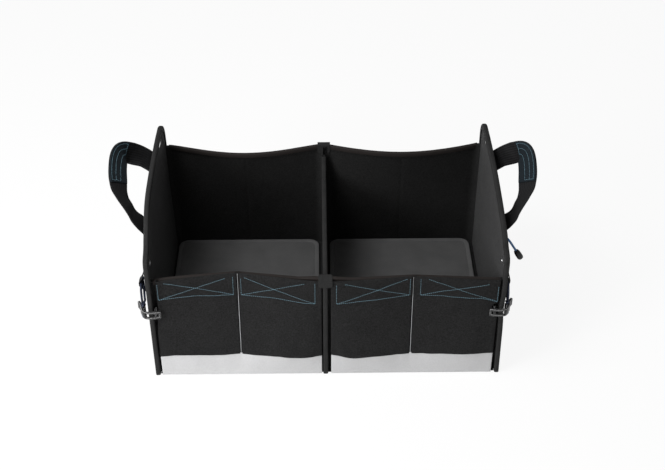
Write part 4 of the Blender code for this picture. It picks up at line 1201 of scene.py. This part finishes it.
for side, sign in SIDES:
    line = smooth_line(HOOK_BOW, 6)
    ahead, behind = [], []
    for k, point in enumerate(line):
        run = run_at(line, k).normalized()
        way = Vector((run.y, -run.x)) * HOOK_THICK / 2 * (0.7 if k in (0, len(line) - 1) else 1)
        ahead.append(point + way)
        behind.append(point - way)
    outline = [Vector((sign * (HOOK_EDGE + p.x), FRONT + p.y)) for p in ahead + behind[::-1]]
    half = HOOK_HIGH / 2
    bm = prism(outline, half)
    tips = [outline[k] for k in (0, -1, len(line) - 1, len(line))]
    rounded(bm, [e for e in bm.edges if abs(e.verts[0].co.z - e.verts[1].co.z) < 1e-7
                 and all(min((v.co.xy - t).length for t in tips) < 1e-6 for v in e.verts)], HOOK_END_ROUND, 6)
    hook = object_of("block", bm)
    slot_from, slot_to = HOOK_EDGE - 0.0205, HOOK_EDGE - 0.0205 + HOOK_SLOT[0]
    blocks = []
    for operation, shape, deep in (
        ("UNION", [(PIVOT[0] + x, PIVOT[1] + y) for x, y in ring_of(28, HOOK_EYE / 2 + EYE_WALL)],
         half - 0.0003),
        ("UNION", [(HOOK_LEG - 0.0018, FRONT - 0.006), (HOOK_LEG + 0.0018, FRONT - 0.006),
                   (HOOK_LEG + 0.0014, FRONT + 0.0085), (HOOK_LEG - 0.0014, FRONT + 0.0085)], half - 0.0006),
        ("DIFFERENCE", [(PIVOT[0] + x, PIVOT[1] + y) for x, y in ring_of(24, HOOK_EYE / 2)], HOOK_HIGH),
        ("DIFFERENCE", [(slot_from, FRONT - 0.015), (slot_to, FRONT - 0.015), (slot_to, FRONT - 0.0040),
                        (slot_from, FRONT - 0.0030)], HOOK_SLOT[1] / 2),
    ):
        blocks.append(object_of("block", prism([(sign * x, y) for x, y in shape], deep)))
        carve(hook, operation, blocks[-1])
    edges = soften(hook, 0.0006, 3, 40)
    edges.use_clamp_overlap = False
    # The bevel faces get the second material, the painted edge highlight.
    edges.material = 1
    hook.data.materials.append(plastic.material)
    hook.data.materials.append(edge_highlight.material)
    keep_modified(hook)
    bm = bmesh.new()
    bm.from_mesh(hook.data)
    for done in blocks + [hook]:
        bpy.data.objects.remove(done)
    made = piece(side + "_moulded_hook", bm, plastic, [side + "_hook"], side + "_hook", 35)
    made.data.materials.append(edge_highlight.material)

# The cord's loose end: the blue elastic leaves the right handle's front tail, bends over the panel
# and hangs, with a moulded end pressed on it.
TAIL_ROUTE = [
    (0.3060, -0.1090, 0.2490), (0.3072, -0.1120, 0.2496), (0.3094, -0.1145, 0.2495),
    (0.3120, -0.1163, 0.2482), (0.3146, -0.1174, 0.2460), (0.3170, -0.1180, 0.2433),
    (0.3192, -0.1183, 0.2403), (0.3213, -0.1184, 0.2371), (0.3233, -0.1184, 0.2338),
    (0.3253, -0.1184, 0.2305), (0.3273, -0.1184, 0.2272), (0.3293, -0.1184, 0.2239),
    (0.3313, -0.1184, 0.2206),
]
tail, tail_line = cord("right_tail_elastic", TAIL_ROUTE, 3, (0, 0, 1), elastic, ["right_cord_tail"])
run = (Vector(TAIL_ROUTE[-1]) - Vector(TAIL_ROUTE[-2])).normalized()
bm = spun([(0, 0), (0.0030, 0), (0.0040, 0.0008), (0.0052, 0.0050), (0.0055, 0.0100), (0.0055, 0.0170),
           (0.0048, 0.0192), (0.0030, 0.0200), (0, 0.0200)], 28)
bmesh.ops.rotate(bm, verts=bm.verts, matrix=run.to_track_quat("Z", "Y").to_matrix())
bmesh.ops.translate(bm, verts=bm.verts, vec=Vector(TAIL_ROUTE[-1]) + run * 0.0003)
tail_end = piece("right_tail_end", bm, plastic, ["right_cord_end"], sharp=50)
length_of(tail_line)
[tuple(p) for p in tail_line]

# The studio: a white floor that keeps the box's shadow, a soft lamp at the left front, a larger one
# overhead, and an even white surround.
bm = bmesh.new()
bmesh.ops.create_grid(bm, x_segments=2, y_segments=2, size=6)
bmesh.ops.translate(bm, vec=(0, 0, -0.0005), verts=bm.verts)
floor = object_of("studio_floor", bm)
paper = Finish("studio_paper", roughness=0.9, specular=0.2)
paper.shader.inputs["Base Color"].default_value = (0.9, 0.9, 0.9, 1)
glow = paper.node("ShaderNodeEmission", None, {"Color": (1, 1, 1, 1), "Strength": 1.0})
seen = paper.hit_by("Camera", "Glossy", "Transmission") * 0.90
mixed = paper.node("ShaderNodeMixShader", None, {0: seen, 1: Field(paper, paper.shader.outputs[0]), 2: glow})
paper.feed(paper.nodes["Material Output"].inputs["Surface"], mixed)
floor.data.materials.append(paper.material)

for name, spot, aim, size, power in (
    ("left_softbox", (-1.15, -1.15, 0.85), (0, 0, 0.12), 0.6, 20),
    ("top_softbox", (-0.9, -0.5, 2.0), (0, 0, 0.05), 0.9, 30),
):
    lamp = bpy.data.lights.new(name, "AREA")
    lamp.size = size
    lamp.energy = power
    holder = bpy.data.objects.new(name, lamp)
    holder.location = spot
    holder.rotation_euler = (Vector(aim) - Vector(spot)).to_track_quat("-Z", "Y").to_euler()
    holder.visible_camera = False
    bpy.context.scene.collection.objects.link(holder)

world = bpy.data.worlds.new("studio")
bpy.context.scene.world = world
world.use_nodes = True
sky = Nodes(world.node_tree)
background = sky.nodes["Background"]
background.inputs["Color"].default_value = (1, 1, 1, 1)
background.inputs["Strength"].default_value = 0.34
white = sky.node("ShaderNodeBackground", None, {"Color": (1, 1, 1, 1)})
mixed = sky.node("ShaderNodeMixShader", None, {
    0: sky.hit_by("Camera", "Transmission"), 1: Field(sky, background.outputs[0]), 2: white})
sky.feed(sky.nodes["World Output"].inputs["Surface"], mixed)
bpy.context.scene.view_settings.view_transform = "Standard"
